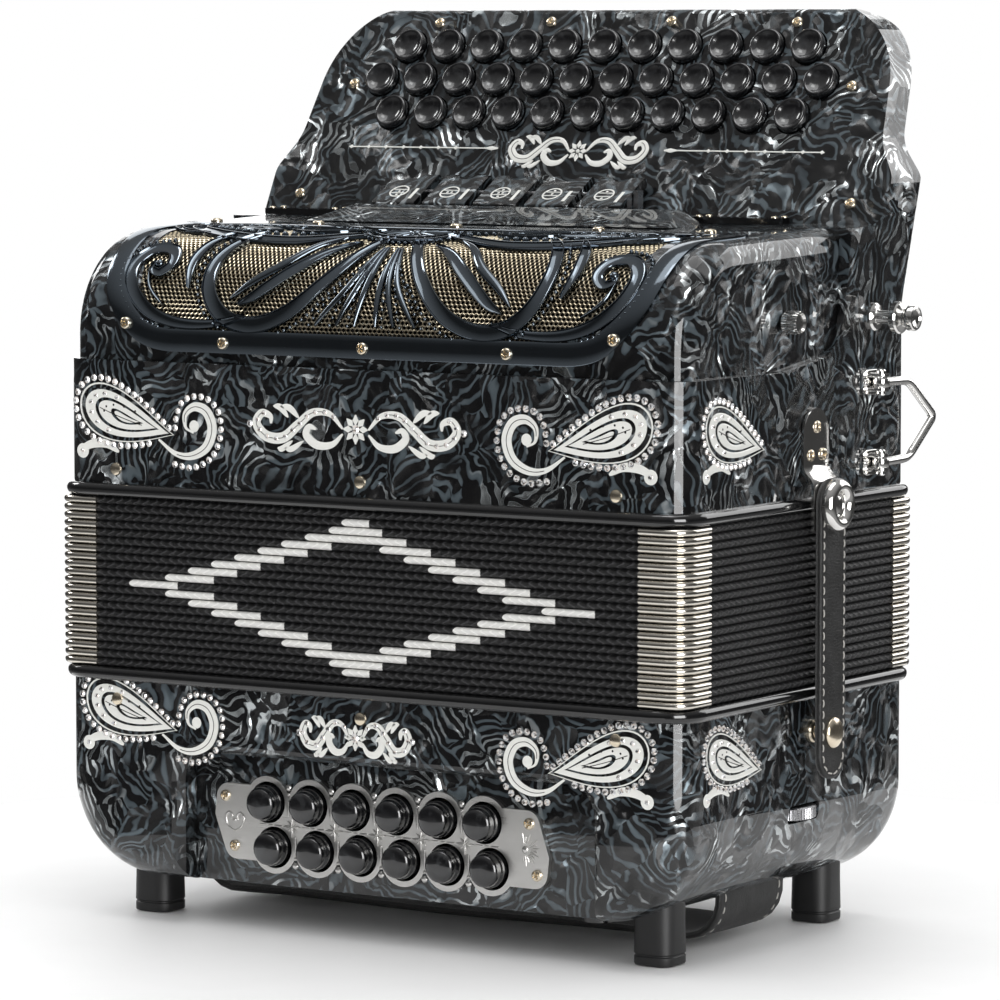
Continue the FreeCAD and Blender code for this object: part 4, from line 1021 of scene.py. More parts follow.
def make_scrollwork():
    """Black-chromed border and filigree scrolls, the same on both halves."""
    shape = Shape()
    stroke(shape, on_cover, grille_outline(GRILLE_BAND / 2), GRILLE_BAND, 1.2, FLAT, closed=True)
    for flip in (-1, 1):
        def line(points, per_span=9, flip=flip):
            return spline([Vector((flip * x, y)) for x, y in points], per_span)

        corner = line(((58, 15.0), (74, 11.5), (92, 11.8), (106, 16.5), (116, 26), (118.5, 37),
                       (112.5, 45.5), (103.5, 44.5),
                       (100.5, 37.5), (104.6, 32.5), (109.2, 34.2), (109.0, 38.2)))
        stroke(shape, on_cover, corner, lambda t: 1.8 + 4.6 * math.sin(PI * min(1, t * 1.05)) ** 0.8, 1.3,
               LIPPED)
        dome(shape, on_cover, flip * 107.4, 37.4, 1.9, 1.7)
        beads(shape, on_cover, line(((100, 9.8), (112, 14.5), (121.4, 26), (123.4, 38), (118.5, 48.6),
                                     (108, 52))), 2.7, 0.95, 1.3)
        veil = line(((98, 18), (107, 25.5), (110.5, 34)))
        stroke(shape, on_cover, veil, taper(1.6), 1.4, ROUND)
        loop = line(((4, 66), (12, 48), (22, 32), (36, 18), (52, 11.8), (67, 14.0), (77, 24), (79.5, 38),
                     (75, 52), (68, 61)))
        stroke(shape, on_cover, loop, lambda t: 3.0 + 4.0 * math.sin(PI * t) ** 0.6, 1.3, LIPPED)
        beads(shape, on_cover, line(((16, 30), (30, 14.5), (48, 7.0), (66, 8.4), (79, 17), (85, 31),
                                     (84, 44), (79, 55))), 3.0, 0.85, 1.2)
        stroke(shape, on_cover, line(((88, 26), (90.5, 38), (88.5, 50), (83, 60))), taper(5.0, 0.25, 0.25),
               1.3, LIPPED)
        blade = line(((62, 19.5), (54, 24), (40, 36), (28, 47), (17, 54)))
        stroke(shape, on_cover, blade, taper(5.6, 0.2, 0.08), 1.2, LIPPED)
        stroke(shape, on_cover, line(((66, 22), (58, 30), (46, 40), (36, 52), (27, 58))),
               taper(4.2, 0.1, 0.1), 1.2, ROUND)
        for x, lean in ((5.0, 0.0), (10.5, 3.0), (16.5, 7.0)):
            ray = line(((1.2 + x * 0.18, 50), (x * 0.62 + lean * 0.1, 30), (x + lean, 12.5)))
            stroke(shape, on_cover, ray, taper(2.8, 0.2, 0.45), 1.2, ROUND)
            beads(shape, on_cover, line(((3.0 + x * 0.3, 40), (x * 0.8 + 2.6 + lean * 0.2, 26),
                                         (x + lean + 3.0, 12.4))), 3.3, 0.75, 1.3)
        teardrop = line(((12, 67), (28, 60), (50, 54.5), (78, 56.5), (101, 64), (110, 74), (104, 84.5),
                         (84, 88.5), (60, 87.5),
                         (44, 83), (37, 76), (41, 69.5), (52, 67.8), (60, 71), (59, 75.2), (53, 75.6)))
        stroke(shape, on_cover, teardrop, lambda t: 2.4 + 4.4 * math.sin(PI * t) ** 0.5, 1.35, LIPPED)
        beads(shape, on_cover, line(((46, 60.6), (62, 60.6), (80, 63.4), (94, 68.6), (100.6, 75),
                                     (95, 80.4), (80, 82.2), (64, 81.4))),
              4.4, 1.45, 1.9)
        stroke(shape, on_cover, line(((70, 66.0), (84, 69.8), (89, 74.4), (82, 76.6), (72, 75.2))),
               taper(2.8, 0.3, 0.1), 1.3, ROUND)
        stroke(shape, on_cover, line(((66, 69.0), (74, 71.0), (80, 73.4))), taper(2.2, 0.3, 0.1), 1.3,
               ROUND)
        stroke(shape, on_cover, line(((96, 60), (112, 64), (121, 74), (119, 86), (110, 92))),
               taper(3.2, 0.3, 0.1), 1.2, LIPPED)
        stroke(shape, on_cover, line(((14, 71), (26, 79), (42, 88), (62, 93.2), (86, 93.4), (104, 91.0))),
               taper(4.2, 0.3, 0.2),
               1.2, LIPPED)
        beads(shape, on_cover, line(((20, 69.5), (32, 77.5), (46, 85), (58, 87.0))), 3.0, 0.85, 1.2)
    medal = [Vector((21 * math.cos(a),
                     67 + 9.6 * math.sin(a))) for a in (2 * PI * k / 56 for k in range(56))]
    stroke(shape, on_cover, medal, 3.4, 1.6, LIPPED, closed=True)
    plate = [Vector((x, 67)) for x in (-19, -17, -13, -7, 0, 7, 13, 17, 19)]
    stroke(shape, on_cover, plate, lambda t: 17.0 * math.sqrt(max(0.02, 1 - (2 * t - 1) ** 2)), 0.8, FLAT)
    for k in range(16):
        a = 2 * PI * k / 16
        ray = [Vector((r * 1.9 * math.cos(a), 67 + r * 0.82 * math.sin(a))) for r in (2.4, 5.0, 8.2)]
        stroke(shape, on_cover, ray, taper(2.0, 0.3, 0.2), 1.5, ROUND)
    dome(shape, on_cover, 0, 67, 2.4, 2.2, 14)
    beads(shape, on_cover, [Vector((23.8 * math.cos(a), 67 + 12.4 * math.sin(a)))
                           for a in (2 * PI * k / 60 for k in range(61))],
          3.0, 0.8, 1.2)
    shape.piece("grille_scrollwork", MATERIALS["gunmetal"], "treble_end", "gunmetal", ("grille_frame",),
                smooth=40)


make_sheet()
make_scrollwork()


# ---- screws and studs ----------------------------------------------------------------------------
def cross_head(shape, centre, axis, radius=2.6, height=1.5, turn=0.4):
    """Pan head with a cross recess; centre is where its underside sits."""
    axis = Vector(axis).normalized()
    side = axis.orthogonal().normalized()
    other = axis.cross(side)
    steps, rows = 32, []
    for share, lift in ((1.0, -0.4), (1.0, 0.35), (0.95, 0.6), (0.84, 0.82), (0.66, 0.95), (0.6, 0.97),
                        (0.4, 0.99),
                        (0.2, 1.0), (0.02, 1.0)):
        ring = []
        for k in range(steps):
            a = 2 * PI * k / steps
            in_slot = share < 0.62 and min(abs(math.sin(a)), abs(math.cos(a))) * share < 0.13
            h = height * (lift - (0.62 * (1 - share * 0.5) if in_slot else 0.0))
            a += turn
            outward = side * math.cos(a) + other * math.sin(a)
            ring.append(centre + (axis * h + outward * radius * share) * MM)
        rows.append(ring)
    shape.closed_tube(rows)


def board_normal():
    return Vector((0, -math.cos(LEAN), math.sin(LEAN)))


def make_screws():
    """Every screw, bellows pin and snap stud, gathered by the end that it sits in."""
    treble_set, bass_set = Shape(), Shape()
    front, slope = Vector((0, -1, 0)), cover_profile()[2]
    up = Vector((0, -math.sin(slope), math.cos(slope)))
    turn = 0.3
    for x, z in FRONT_GRILLE_SCREWS:
        cross_head(treble_set, at(x, COVER_FRONT - 1.2, z), front, 2.5, 1.6, turn)
        turn += SCREW_TURN
    for x in TOP_GRILLE_SCREWS:
        z = COVER_TOP + (TOP_SCREW_Y - COVER_FRONT) * math.tan(slope)
        cross_head(treble_set, at(x, TOP_SCREW_Y, z + 1.2), up, 2.5, 1.6, turn)
        turn += SCREW_TURN
    for x, v in BOARD_SCREWS:
        cross_head(treble_set, on_board(x, v, 0.05), board_normal(), 2.4, 1.2, turn)
        turn += SCREW_TURN
    for x in BAR_SCREW_XS:
        for y in BAR_YS:
            cross_head(treble_set, at(x, y, COVER_TOP_BACK + 3.0), (0, 0, 1), 1.4, 0.8, turn)
            turn += SCREW_TURN
    for sx in (-1, 1):
        for dy, z in STRAP_SCREWS:
            cross_head(treble_set, at(sx * (SIDE_X + 1.6), SIDE_STRAP_Y + dy, z), (sx, 0, 0), 2.4, 1.1,
                       turn)
            turn += SCREW_TURN
    for x, z in PLATE_SCREWS:
        cross_head(bass_set, at(x, PLATE_Y, z), front, 2.3, 1.2, turn)
        turn += SCREW_TURN
    for pins, z in ((treble_set, TREBLE_PIN_Z), (bass_set, BASS_PIN_Z)):
        for sy in (-1, 1):
            for x in PIN_XS:
                lathe(pins, ((1.1, -1.0), (2.7, -0.1), (2.7, 0.2), (2.4, 0.8), (1.6, 1.25), (0.6, 1.42),
                             (0.05, 1.45)),
                      at(x, sy * case_hi.y, z), (0, sy, 0), 20)
    for sx in (-1, 1):
        stud = at(sx * SIDE_X, SIDE_STRAP_Y, SNAP_Z)
        lathe(bass_set, ((4.5, -0.2), (4.5, 1.2), (4.0, 2.0), (2.9, 2.3), (2.9, 6.0), (0.05, 6.0)), stud,
              (sx, 0, 0), 24)
        for sy in (-1, 1):
            lathe(bass_set, ((3.8, 4.2), (3.8, 5.6), (0.05, 5.9)), at(sx * FOOT_X, sy * FOOT_Y, 0),
                  (0, 0, 1), 20)
    treble_set.piece("treble_screws", MATERIALS["screw_gold"], "treble_end", "screw_gold",
                     ("treble_fasteners",), smooth=30)
    bass_set.piece("bass_screws", MATERIALS["screw_gold"], "bass_end", "screw_gold", ("bass_fasteners",),
                   smooth=30)


# ---- buttons -------------------------------------------------------------------------------------
def make_treble_caps():
    dish = ((1.8, -5.2), (1.8, -2.6), (7.2, -2.5), (7.5, -2.0), (7.5, 1.6), (7.42, 2.5), (7.15, 3.05),
            (6.75, 3.3), (6.3, 3.28),
            (5.9, 3.0), (5.2, 2.35), (4.2, 1.7), (3.0, 1.25), (1.6, 1.0), (0.05, 0.95))
    for row, (v, count) in enumerate(BUTTON_ROWS):
        shape = Shape()
        for i in range(count):
            lathe(shape, dish, on_board(BUTTON_PITCH * (i - (count - 1) / 2), v, 0), board_normal(), 40)
        name = "treble_buttons_row_%d" % (row + 1)
        shape.piece("treble_caps_row_%d" % (row + 1), MATERIALS["button_black"], name, "button_black",
                    (name,), smooth=50)


def make_bass_caps():
    crown = ((2.5, -15.0), (2.5, -6.0), (7.1, -6.0), (7.25, -5.6), (7.25, 3.9), (7.1, 4.5), (6.72, 4.9),
             (6.62, 5.4), (6.6, 6.7),
             (6.35, 7.7), (5.7, 8.5), (4.6, 8.95), (3.0, 9.2), (1.4, 9.3), (0.05, 9.3))
    spots = [(offset + BASS_PITCH * (i - 2.5), z) for z,
             offset in BASS_ROWS for i in range(BASS_BUTTONS_PER_ROW)]
    for i, (x, z) in enumerate(spots):
        shape = Shape()
        lathe(shape, crown, at(x, PLATE_Y + 2, z), (0, -1, 0), 44)
        name = "bass_button_%02d" % (i + 1)
        shape.piece("bass_cap_%02d" % (i + 1), MATERIALS["button_black"], name, "button_black", (name,),
                    smooth=50)


# ---- bass plate's engraving ----------------------------------------------------------------------
def make_plate_relief():
    """Beads and tapered bars between the lobes, dashes and stars between the rows."""
    shape = Shape()
    face = on_front(PLATE_Y)
    (top_z, top_x), (low_z, low_x) = BASS_ROWS
    mid_z, mid_x = (top_z + low_z) / 2, (top_x + low_x) / 2
    for i in range(5):
        x = BASS_PITCH * (i - 2)
        for z, sign, off in ((top_z, 1, top_x), (low_z, -1, low_x)):
            dome(shape, face, x + off, z + sign * 6.6, 1.45, 0.9, 12)
            dome(shape, face, x + off, z + sign * 3.9, 0.8, 0.6, 8)
            bar = [Vector((x + off, z + sign * 2.6)), Vector((x + off, z - sign * 1.2)),
                   Vector((x + off, z - sign * 5.0))]
            stroke(shape, face, bar, taper(1.9, 0.1, 0.5), 0.55, ROUND)
        for k in range(8):
            a = PI * k / 4
            reach = 3.1 if k % 2 else 4.3
            ray = [Vector((x + mid_x + r * math.cos(a), mid_z + r * math.sin(a)))
                   for r in (0.5, reach * 0.6, reach)]
            stroke(shape, face, ray, taper(1.0, 0.5, 0.1), 0.5, ROUND)
    for i in range(6):
        x = BASS_PITCH * (i - 2.5) + mid_x
        for start, end in ((-5.4, -2.0), (-0.9, 0.9), (2.0, 5.4)):
            dash = [Vector((x + start, mid_z)), Vector((x + (start + end) / 2, mid_z)),
                    Vector((x + end, mid_z))]
            stroke(shape, face, dash, 0.55, 0.35, ROUND)
    for k in range(14):
        a = math.radians(-100 + 200 * k / 13)
        ray = [Vector((70.5 + r * math.cos(a), 42.6 + 0.95 * r * math.sin(a)))
               for r in (2.6, 4.2, 5.4 + 1.4 * (k % 2))]
        stroke(shape, face, ray, taper(0.75, 0.4, 0.3), 0.45, ROUND)
    dome(shape, face, 70.5, 42.6, 1.5, 0.8, 12)
    for flip in (-1, 1):
        curl = spline([Vector((-67.8 + flip * x, 43.0 + y)) for x,
                       y in ((0, -4.2), (3.4, -2.2), (4.4, 1.2), (2.8, 3.2), (1.2, 2.0),
                                                                         (1.8, 0.4))], 6)
        stroke(shape, face, curl, taper(1.1, 0.4, 0.3), 0.5, ROUND)
    dome(shape, face, -67.8, 43.2, 0.9, 0.6, 8)
    shape.piece("bass_plate_relief", MATERIALS["plate_silver"], "bass_end", "plate_silver", smooth=40)


# ---- fingerboard lines and register icons --------------------------------------------------------
def make_board_lines():
    """White lines with diamond marks either side of a scroll, low on the fingerboard."""
    shape, ink, stones = Shape(), Shape(), Shape()
    for x0, x1 in ((-115.0, -40.0), (116.0, 41.0)):
        steps = [Vector((x0 + (x1 - x0) * k / 24, BOARD_LINE_V)) for k in range(25)]
        stroke(shape, on_board, steps,
               lambda t: 0.55 if t < 0.93 else 0.55 + 1.5 * math.sin(PI * (t - 0.93) / 0.07), 0.2)
        for k in range(7):
            x = x0 + (x1 - x0) * (k * 0.118 + 0.01)
            mark = [Vector((x + dx, BOARD_LINE_V)) for dx in (-1.3, -0.6, 0, 0.6, 1.3)]
            stroke(shape, on_board, mark, lambda t: 1.7 * (1 - abs(2 * t - 1)) + 0.1, 0.22)
    scroll_emblem(shape, ink, stones, on_board, (-0.5, 30.6), 35, 12.5, with_stones=False)
    shape.piece("fingerboard_inlay", MATERIALS["inlay"], "treble_end", None)
    ink.piece("fingerboard_inlay_lines", MATERIALS["ink"], "treble_end", None)


TAB_PITCH, TAB_X0 = 25.2, -72.5
TAB_FRONT, TAB_BACK = (40.0, 288.0), (61.0, 300.0)
ICON_V = 8.6                                # middle of a register sign, up its tab's slope


def on_tab(u, v, h):
    """Face of a register tab: v runs up its slope."""
    dy, dz = TAB_BACK[0] - TAB_FRONT[0], TAB_BACK[1] - TAB_FRONT[1]
    long = math.hypot(dy, dz)
    return at(u, TAB_FRONT[0] + (v * dy - h * dz) / long, TAB_FRONT[1] + (v * dz + h * dy) / long)


def make_icons():
    """Round register signs: dots between two bars, a different count on each tab."""
    dots = ((1, 1, 0), (0, 2, 0), (1, 2, 1), (0, 1, 1), (1, 0, 1))
    for i, counts in enumerate(dots):
        shape = Shape()
        x = TAB_X0 + i * TAB_PITCH - 1.5
        ring = [Vector((x + 4.1 * math.cos(a),
                        ICON_V + 4.1 * math.sin(a))) for a in (2 * PI * k / 32 for k in range(32))]
        stroke(shape, on_tab, ring, 0.7, 0.15, closed=True)
        for dv in (-1.35, 1.35):
            stroke(shape, on_tab, [Vector((x + dx, ICON_V + dv)) for dx in (-3.7, 0, 3.7)], 0.5, 0.15)
        for level, count in enumerate(counts):
            for k in range(count):
                dome(shape, on_tab, x + 2.0 * (k - (count - 1) / 2), ICON_V + 2.6 * (level - 1), 0.62, 0.2,
                     10)
        bar = [Vector((x + 8.0, v)) for v in (3.0, 7.0, 11.0)]
        stroke(shape, on_tab, bar, 1.5, 0.15)
        shape.piece("register_icon_%d" % (i + 1), MATERIALS["inlay"], "register_tab_%d" % (i + 1), None)


make_screws()
make_treble_caps()
make_bass_caps()
make_plate_relief()
make_board_lines()
make_icons()


# ---- side fittings -------------------------------------------------------------------------------
def band(shape, stations, thick):
    """Flat bar: each station is (middle, half width direction, outward direction, half width)."""
    rows = []
    for middle, wide, out, half in stations:
        ring = []
        for w, h in ((-1, -0.7), (-0.96, -1), (0.96, -1), (1, -0.7), (1, 0.7), (0.96, 1), (-0.96, 1),
                     (-1, 0.7)):
            ring.append(middle + (wide * (w * half) + out * (h * thick / 2)) * MM)
        rows.append(ring)
    shape.closed_tube(rows)


def make_side_hardware():
    """Strap brackets with their capped hubs, shoulder strap pegs and loop brackets."""
    shape = Shape()
    y, z = SIDE_STRAP_Y, SIDE_STRAP_Z
    for sx in (-1, 1):
        across = Vector((0, 1, 0))
        out = Vector((sx, 0, 0))
        stations = []
        for k in range(9):
            a = PI / 2 * (1 - k / 8)
            stations.append((at(sx * (SIDE_X + 0.85), y, 202 + 10 * math.sin(a)), across, out,
                             max(0.3, 10 * math.cos(a))))
        bend = ((SIDE_X + 0.85, 190.5, 0), (SIDE_X + 1.0, 188.6, 14), (SIDE_X + 2.0, 186.6, 40),
                (SIDE_X + 4.4, 184.2, 44),
                (SIDE_X + 5.3, 182.6, 20), (SIDE_X + 5.5, 180.5, 0), (SIDE_X + 5.5, 164.5, 0))
        for x, height, lean in bend:
            tilt = math.radians(lean)
            stations.append((at(sx * x, y, height), across, Vector((sx * math.cos(tilt), 0,
                                                                    math.sin(tilt))), 10.0))
        band(shape, stations, 1.5)
        hub = at(sx * (SIDE_STRAP_X + 2.8), y, z)
        lathe(shape, ((4.95, -4.5), (4.95, 0.0), (10.0, 0.0), (10.5, 0.5), (10.55, 1.6), (10.1, 3.0),
                      (9.2, 4.1), (8.0, 4.75),
                      (7.0, 4.7), (6.1, 4.2), (5.3, 3.3), (4.8, 2.4), (4.6, 1.7),
                      (3.9, 1.5), (3.7, 2.1), (3.0, 2.5), (1.6, 2.7),
                      (0.05, 2.7)), hub, out, 48)
        peg = at(sx * (SIDE_X + 0.3), PEG_Y, PEG_Z)
        lathe(shape, ((5.6, -0.3), (5.6, 0.9), (4.9, 1.7), (3.0, 1.9), (2.7, 2.6), (2.7, 8.4), (3.4, 9.0),
                      (6.1, 9.4), (6.5, 9.9),
                      (6.5, 11.9), (6.0, 12.6), (4.4, 13.0), (3.6, 13.6), (3.6, 14.6),
                      (4.3, 15.3), (5.0, 15.9), (5.1, 18.4), (4.7, 19.1),
                      (3.8, 19.2), (3.2, 18.5), (1.8, 18.1), (0.05, 18.0)), peg, out, 36)
        for z_eye in BAIL_EYES_Z:
            pad = []
            for dy in (-8.0, -7.4, -5.0, 0.0, 3.0, 3.9, 4.2):
                round_off = 5.0 if -7 < dy < 3.5 else 4.0
                pad.append((at(sx * (SIDE_X + 0.45), BAIL_Y + dy, z_eye), Vector((0, 0, 1)), out,
                            round_off))
            band(shape, pad, 0.9)
            for low in (z_eye - 3.6, z_eye + 2.2):
                lug = [(at(sx * x, BAIL_Y, low + 0.7), across, Vector((0, 0, 1)), half)
                       for x, half in ((SIDE_X + 0.3, 3.2), (151.4, 3.2), (152.8, 2.6), (153.8, 1.6),
                                       (154.3, 0.5))]
                band(shape, lug, 1.4)
            pin = at(sx * BAIL_X, BAIL_Y, z_eye)
            lathe(shape, ((0.05, -5.4), (1.5, -5.2), (2.0, -4.6), (2.0, -3.7), (1.45, -3.6), (1.45, 3.6),
                          (2.0, 3.7), (2.0, 4.6),
                          (1.5, 5.2), (0.05, 5.4)), pin, (0, 0, 1), 16)
            cross_head(shape, at(sx * (SIDE_X + 0.9), BAIL_Y - 6.4, z_eye), out, 1.5, 0.9, 0.4 * sx)
    shape.piece("side_hardware", MATERIALS["nickel"], "treble_end", "nickel", ("strap_fittings",),
                smooth=32)


def make_strap_loops():
    """Bent wire loops that the shoulder straps hang from."""
    corners = ((54.0, 219.5), (60.0, 219.5), (78.4, 219.2), (98.6, 204.6), (98.6, 202.6), (78.4, 187.9),
               (60.0, 187.5), (54.0, 187.5))
    for sx, name in ((1, "right"), (-1, "left")):
        shape = Shape()
        path = []
        for i, (y, z) in enumerate(corners):
            here = Vector((y, z))
            if i in (0, len(corners) - 1):
                path.append(here)
                continue
            before, after = Vector(corners[i - 1]), Vector(corners[i + 1])
            reach = min(4.5, (before - here).length / 2, (after - here).length / 2)
            start = here + (before - here).normalized() * reach
            end = here + (after - here).normalized() * reach
            path += [start.lerp(here, t).lerp(here.lerp(end, t), t) for t in (0, 0.25, 0.5, 0.75, 1)]
        tube(shape, [at(sx * BAIL_X, p.x, p.y) for p in path], BAIL_ROD, 16)
        for z in BAIL_EYES_Z:
            lathe(shape, ((1.65, -1.9), (3.1, -1.9), (3.4, -1.4), (3.4, 1.4), (3.1, 1.9), (1.65, 1.9),
                          (1.65, -1.9)),
                  at(sx * BAIL_X, BAIL_Y, z), (0, 0, 1), 24)
        node = "strap_bail_" + name
        shape.piece("strap_loop_" + name, MATERIALS["nickel"], node, "nickel", (node,), smooth=40)


def stadium(y, low, high, half, inset, steps=12):
    """Closed outline of an upright band with round ends, as (y, z)."""
    r = half - inset
    path = []
    for k in range(steps + 1):
        a = PI * k / steps
        path.append(Vector((y + r * math.cos(a), high - half + r * math.sin(a))))
    for k in range(steps + 1):
        a = PI + PI * k / steps
        path.append(Vector((y + r * math.cos(a), low + half + r * math.sin(a))))
    return path


def make_side_straps():
    low, high = 66.0, SIDE_STRAP_Z + 10.5
    for sx, name in ((1, "right"), (-1, "left")):
        body = "bellows_strap_" + name
        layers = ((("side_strap_", "leather"), ((0.0, 1.35), (0.0, 2.2), (0.35, 2.65), (1.2, 2.8),
                                                (2.0, 2.72), (2.6, 2.8))),
                  (("side_strap_lining_", "felt"), ((0.5, 0.0), (0.25, 0.3), (0.2, 1.35))))
        for (label, material), profile in layers:
            shape = Shape()
            rings = []
            for inset, h in profile:
                rings.append([at(sx * (SIDE_STRAP_X + h), p.x, p.y)
                              for p in resample(stadium(SIDE_STRAP_Y, low, high, 10.0, inset, 16), 3.0,
                                                closed=True)])
            count = min(len(r) for r in rings)
            rings = [[r[round(k * len(r) / count) % len(r)] for k in range(count)] for r in rings]
            shape.closed_tube(rings)
            replaced = (body,) if material == "leather" else ()
            shape.piece(label + name, MATERIALS[material], body, "leather", replaced, smooth=50)
        stitches = Shape()
        for p, q in stitch_marks(stadium(SIDE_STRAP_Y, low, high, 10.0, 2.0, 16), 4.4, 0.62):
            stitch(stitches, at(sx * (SIDE_STRAP_X + 2.74), p.x, p.y),
                   at(sx * (SIDE_STRAP_X + 2.74), q.x, q.y), (sx, 0, 0))
        stitches.piece("side_strap_stitching_" + name, MATERIALS["thread"], body, None, smooth=60)
        snap = Shape()
        lathe(snap, ((2.0, -2.4), (2.0, -0.1), (6.0, -0.1), (6.25, 0.3), (6.1, 0.9), (5.4, 1.6),
                     (4.2, 2.15), (2.6, 2.5), (1.2, 2.62),
                     (0.05, 2.65)), at(sx * (SIDE_STRAP_X + 2.8), SIDE_STRAP_Y, SNAP_Z), (sx, 0, 0), 36)
        snap.piece("side_strap_snap_" + name, MATERIALS["screw_gold"], body, "screw_gold", smooth=50)


def stitch_marks(path, pitch, share):
    """Start and end of each stitch along a closed flat path."""
    points = resample(path, pitch, closed=True)
    return [(a, a.lerp(b, share)) for a, b in zip(points, points[1:] + points[:1])]


def stitch(shape, start, end, out):
    """One thread stitch, sunk at both ends."""
    out = Vector(out)
    path = [start - out * 0.25 * MM]
    for t in (0.12, 0.35, 0.65, 0.88):
        path.append(start.lerp(end, t) + out * (0.24 if 0.2 < t < 0.8 else 0.1) * MM)
    path.append(end - out * 0.25 * MM)
    tube(shape, path, 0.34, 6)


def make_hand_strap():
    """Leather strap slack under the bass end, with a brushed lining and stitched edges."""
    x0, low, bend, top = 124.0, 4.5, 15.0, 37.5
    line = [(-x0, top), (-x0, 30.0), (-x0, 24.0)]
    for k in range(9):
        a = PI + PI / 2 * k / 8
        line.append((-x0 + bend + bend * math.cos(a), low + bend + bend * math.sin(a)))
    flat = [(-96, 0.25), (-80, 0.55), (-58, 0.3), (-34, -0.1), (-10, -0.35), (14, -0.25), (38, 0.1),
            (62, 0.45), (84, 0.5), (98, 0.2)]
    line += [(x, low + dz) for x, dz in flat]
    for k in range(9):
        a = -PI / 2 + PI / 2 * k / 8
        line.append((x0 - bend + bend * math.cos(a), low + bend + bend * math.sin(a)))
    line += [(x0, 24.0), (x0, 30.0), (x0, top)]
    path = resample(spline([Vector(p) for p in line], 4), 5.0)
    sides = across_of(path, False)
    for label, material, profile in (
            ("hand_strap", "leather", ((-25, 0.0), (-25, -0.9), (-24.3, -1.45), (-22, -1.5), (-21, -1.38),
                                       (-20, -1.5), (-8, -1.62),
                                       (8, -1.62), (20, -1.5), (21, -1.38), (22, -1.5),
                                       (24.3, -1.45), (25, -0.9), (25, 0.0))),
            ("hand_strap_lining", "felt", ((-24.8, 0.0), (-24.6, 1.1), (-23, 1.5), (-10, 1.7), (10, 1.7),
                                           (23, 1.5), (24.6, 1.1),
                                           (24.8, 0.0)))):
        shape = Shape()
        rows = [[at(p.x + side.x * h, y, p.y + side.y * h) for y, h in profile] for p,
                side in zip(path, sides)]
        shape.closed_tube(rows)
        shape.piece(label, MATERIALS[material], "bass_end", "leather",
                    ("bass_strap",) if material == "leather" else (), smooth=50)
    stitches = Shape()
    marks = resample(path, 4.6)
    outs = across_of(marks, False)
    for y in (-21.0, 21.0):
        for a, b, out in zip(marks[3:-4], marks[4:-3], outs[3:-4]):
            down = Vector((-out.x, 0, -out.y))
            p, q = a, a.lerp(b, 0.62)
            stitch(stitches, at(p.x - out.x * 1.42, y, p.y - out.y * 1.42),
                   at(q.x - out.x * 1.42, y, q.y - out.y * 1.42), down)
    stitches.piece("hand_strap_stitching", MATERIALS["thread"], "bass_end", None, smooth=60)


def knurled(shape, centre, axis, radius, half, teeth, hub):
    """Wheel with grooves across its rim and a dished face."""
    axis = Vector(axis).normalized()
    side = axis.orthogonal().normalized()
    other = axis.cross(side)
    rows = []
    for share, h in ((hub, -half * 0.7), (0.7, -half * 0.7), (0.82, -half), (0.93, -half),
                     (1.0, -half * 0.82), (1.0, half * 0.82),
                     (0.93, half), (0.82, half), (0.7, half * 0.7), (hub, half * 0.7)):
        ring = []
        for k in range(teeth * 4):
            a = 2 * PI * k / (teeth * 4)
            r = radius * share - (0.35 if share == 1.0 and k % 4 in (2, 3) else 0.0)
            ring.append(centre + (axis * h + (side * math.cos(a) + other * math.sin(a)) * r) * MM)
        rows.append(ring)
    shape.closed_tube(rows)


def make_knobs():
    knob = Shape()
    face = SIDE_X - 3.0
    knurled(knob, at(face + 4.5, KNOB_Y, KNOB_Z), (1, 0, 0), 4.6, 3.4, 24, 0.02)
    lathe(knob, ((1.5, -6.0), (1.5, 1.4), (0.05, 1.5)), at(face, KNOB_Y, KNOB_Z), (1, 0, 0), 16)
    knob.piece("side_knob_cap", MATERIALS["nickel"], "side_knob", "nickel", ("side_knob",), smooth=30)
    wheel = Shape()
    knurled(wheel, at(WHEEL_X, WHEEL_Y, WHEEL_Z), (0, 0, 1), 16.0, 2.5, 64, 0.12)
    lathe(wheel, ((0.05, -10.2), (3.0, -10.2), (3.0, 30.1), (0.05, 30.1)), at(WHEEL_X, WHEEL_Y, WHEEL_Z),
          (0, 0, 1), 24)
    wheel.piece("strap_thumbwheel", MATERIALS["steel"], "strap_wheel", "steel", ("strap_wheel",), smooth=30)


def make_feet():
    """Tapered rubber feet with a thin seam above the sole."""
    shape = Shape()
    profile = ((0.05, 2.0, 4.0), (4.1, 2.0, 2.0), (4.2, 0.1, 2.0), (8.2, 0.0, 4.0), (8.75, 0.5, 5.4),
               (8.8, 3.2, 5.6), (8.45, 3.6, 5.4),
               (8.45, 4.0, 5.4), (8.85, 4.5, 5.6), (8.75, 17.0, 6.0), (8.75, 22.0, 6.0), (8.75, 26.0, 6.0))
    for sx in (-1, 1):
        for sy in (-1, 1):
            rows = []
            for half, z, corner in profile:
                ring = []
                r = min(corner, half)
                for cx, cy, start in ((half - r, half - r, 0), (r - half, half - r, 90),
                                      (r - half, r - half, 180), (half - r, r - half, 270)):
                    for k in range(7):
                        a = math.radians(start + 15 * k)
                        ring.append(at(sx * FOOT_X + cx + r * math.cos(a),
                                       sy * FOOT_Y + cy + r * math.sin(a), z))
                rows.append(ring)
            shape.closed_tube(rows)
    shape.piece("foot_blocks", MATERIALS["rubber"], "bass_end", "rubber", ("rubber_feet",), smooth=35)


make_side_hardware()
make_strap_loops()
make_side_straps()
make_hand_strap()
make_knobs()
make_feet()


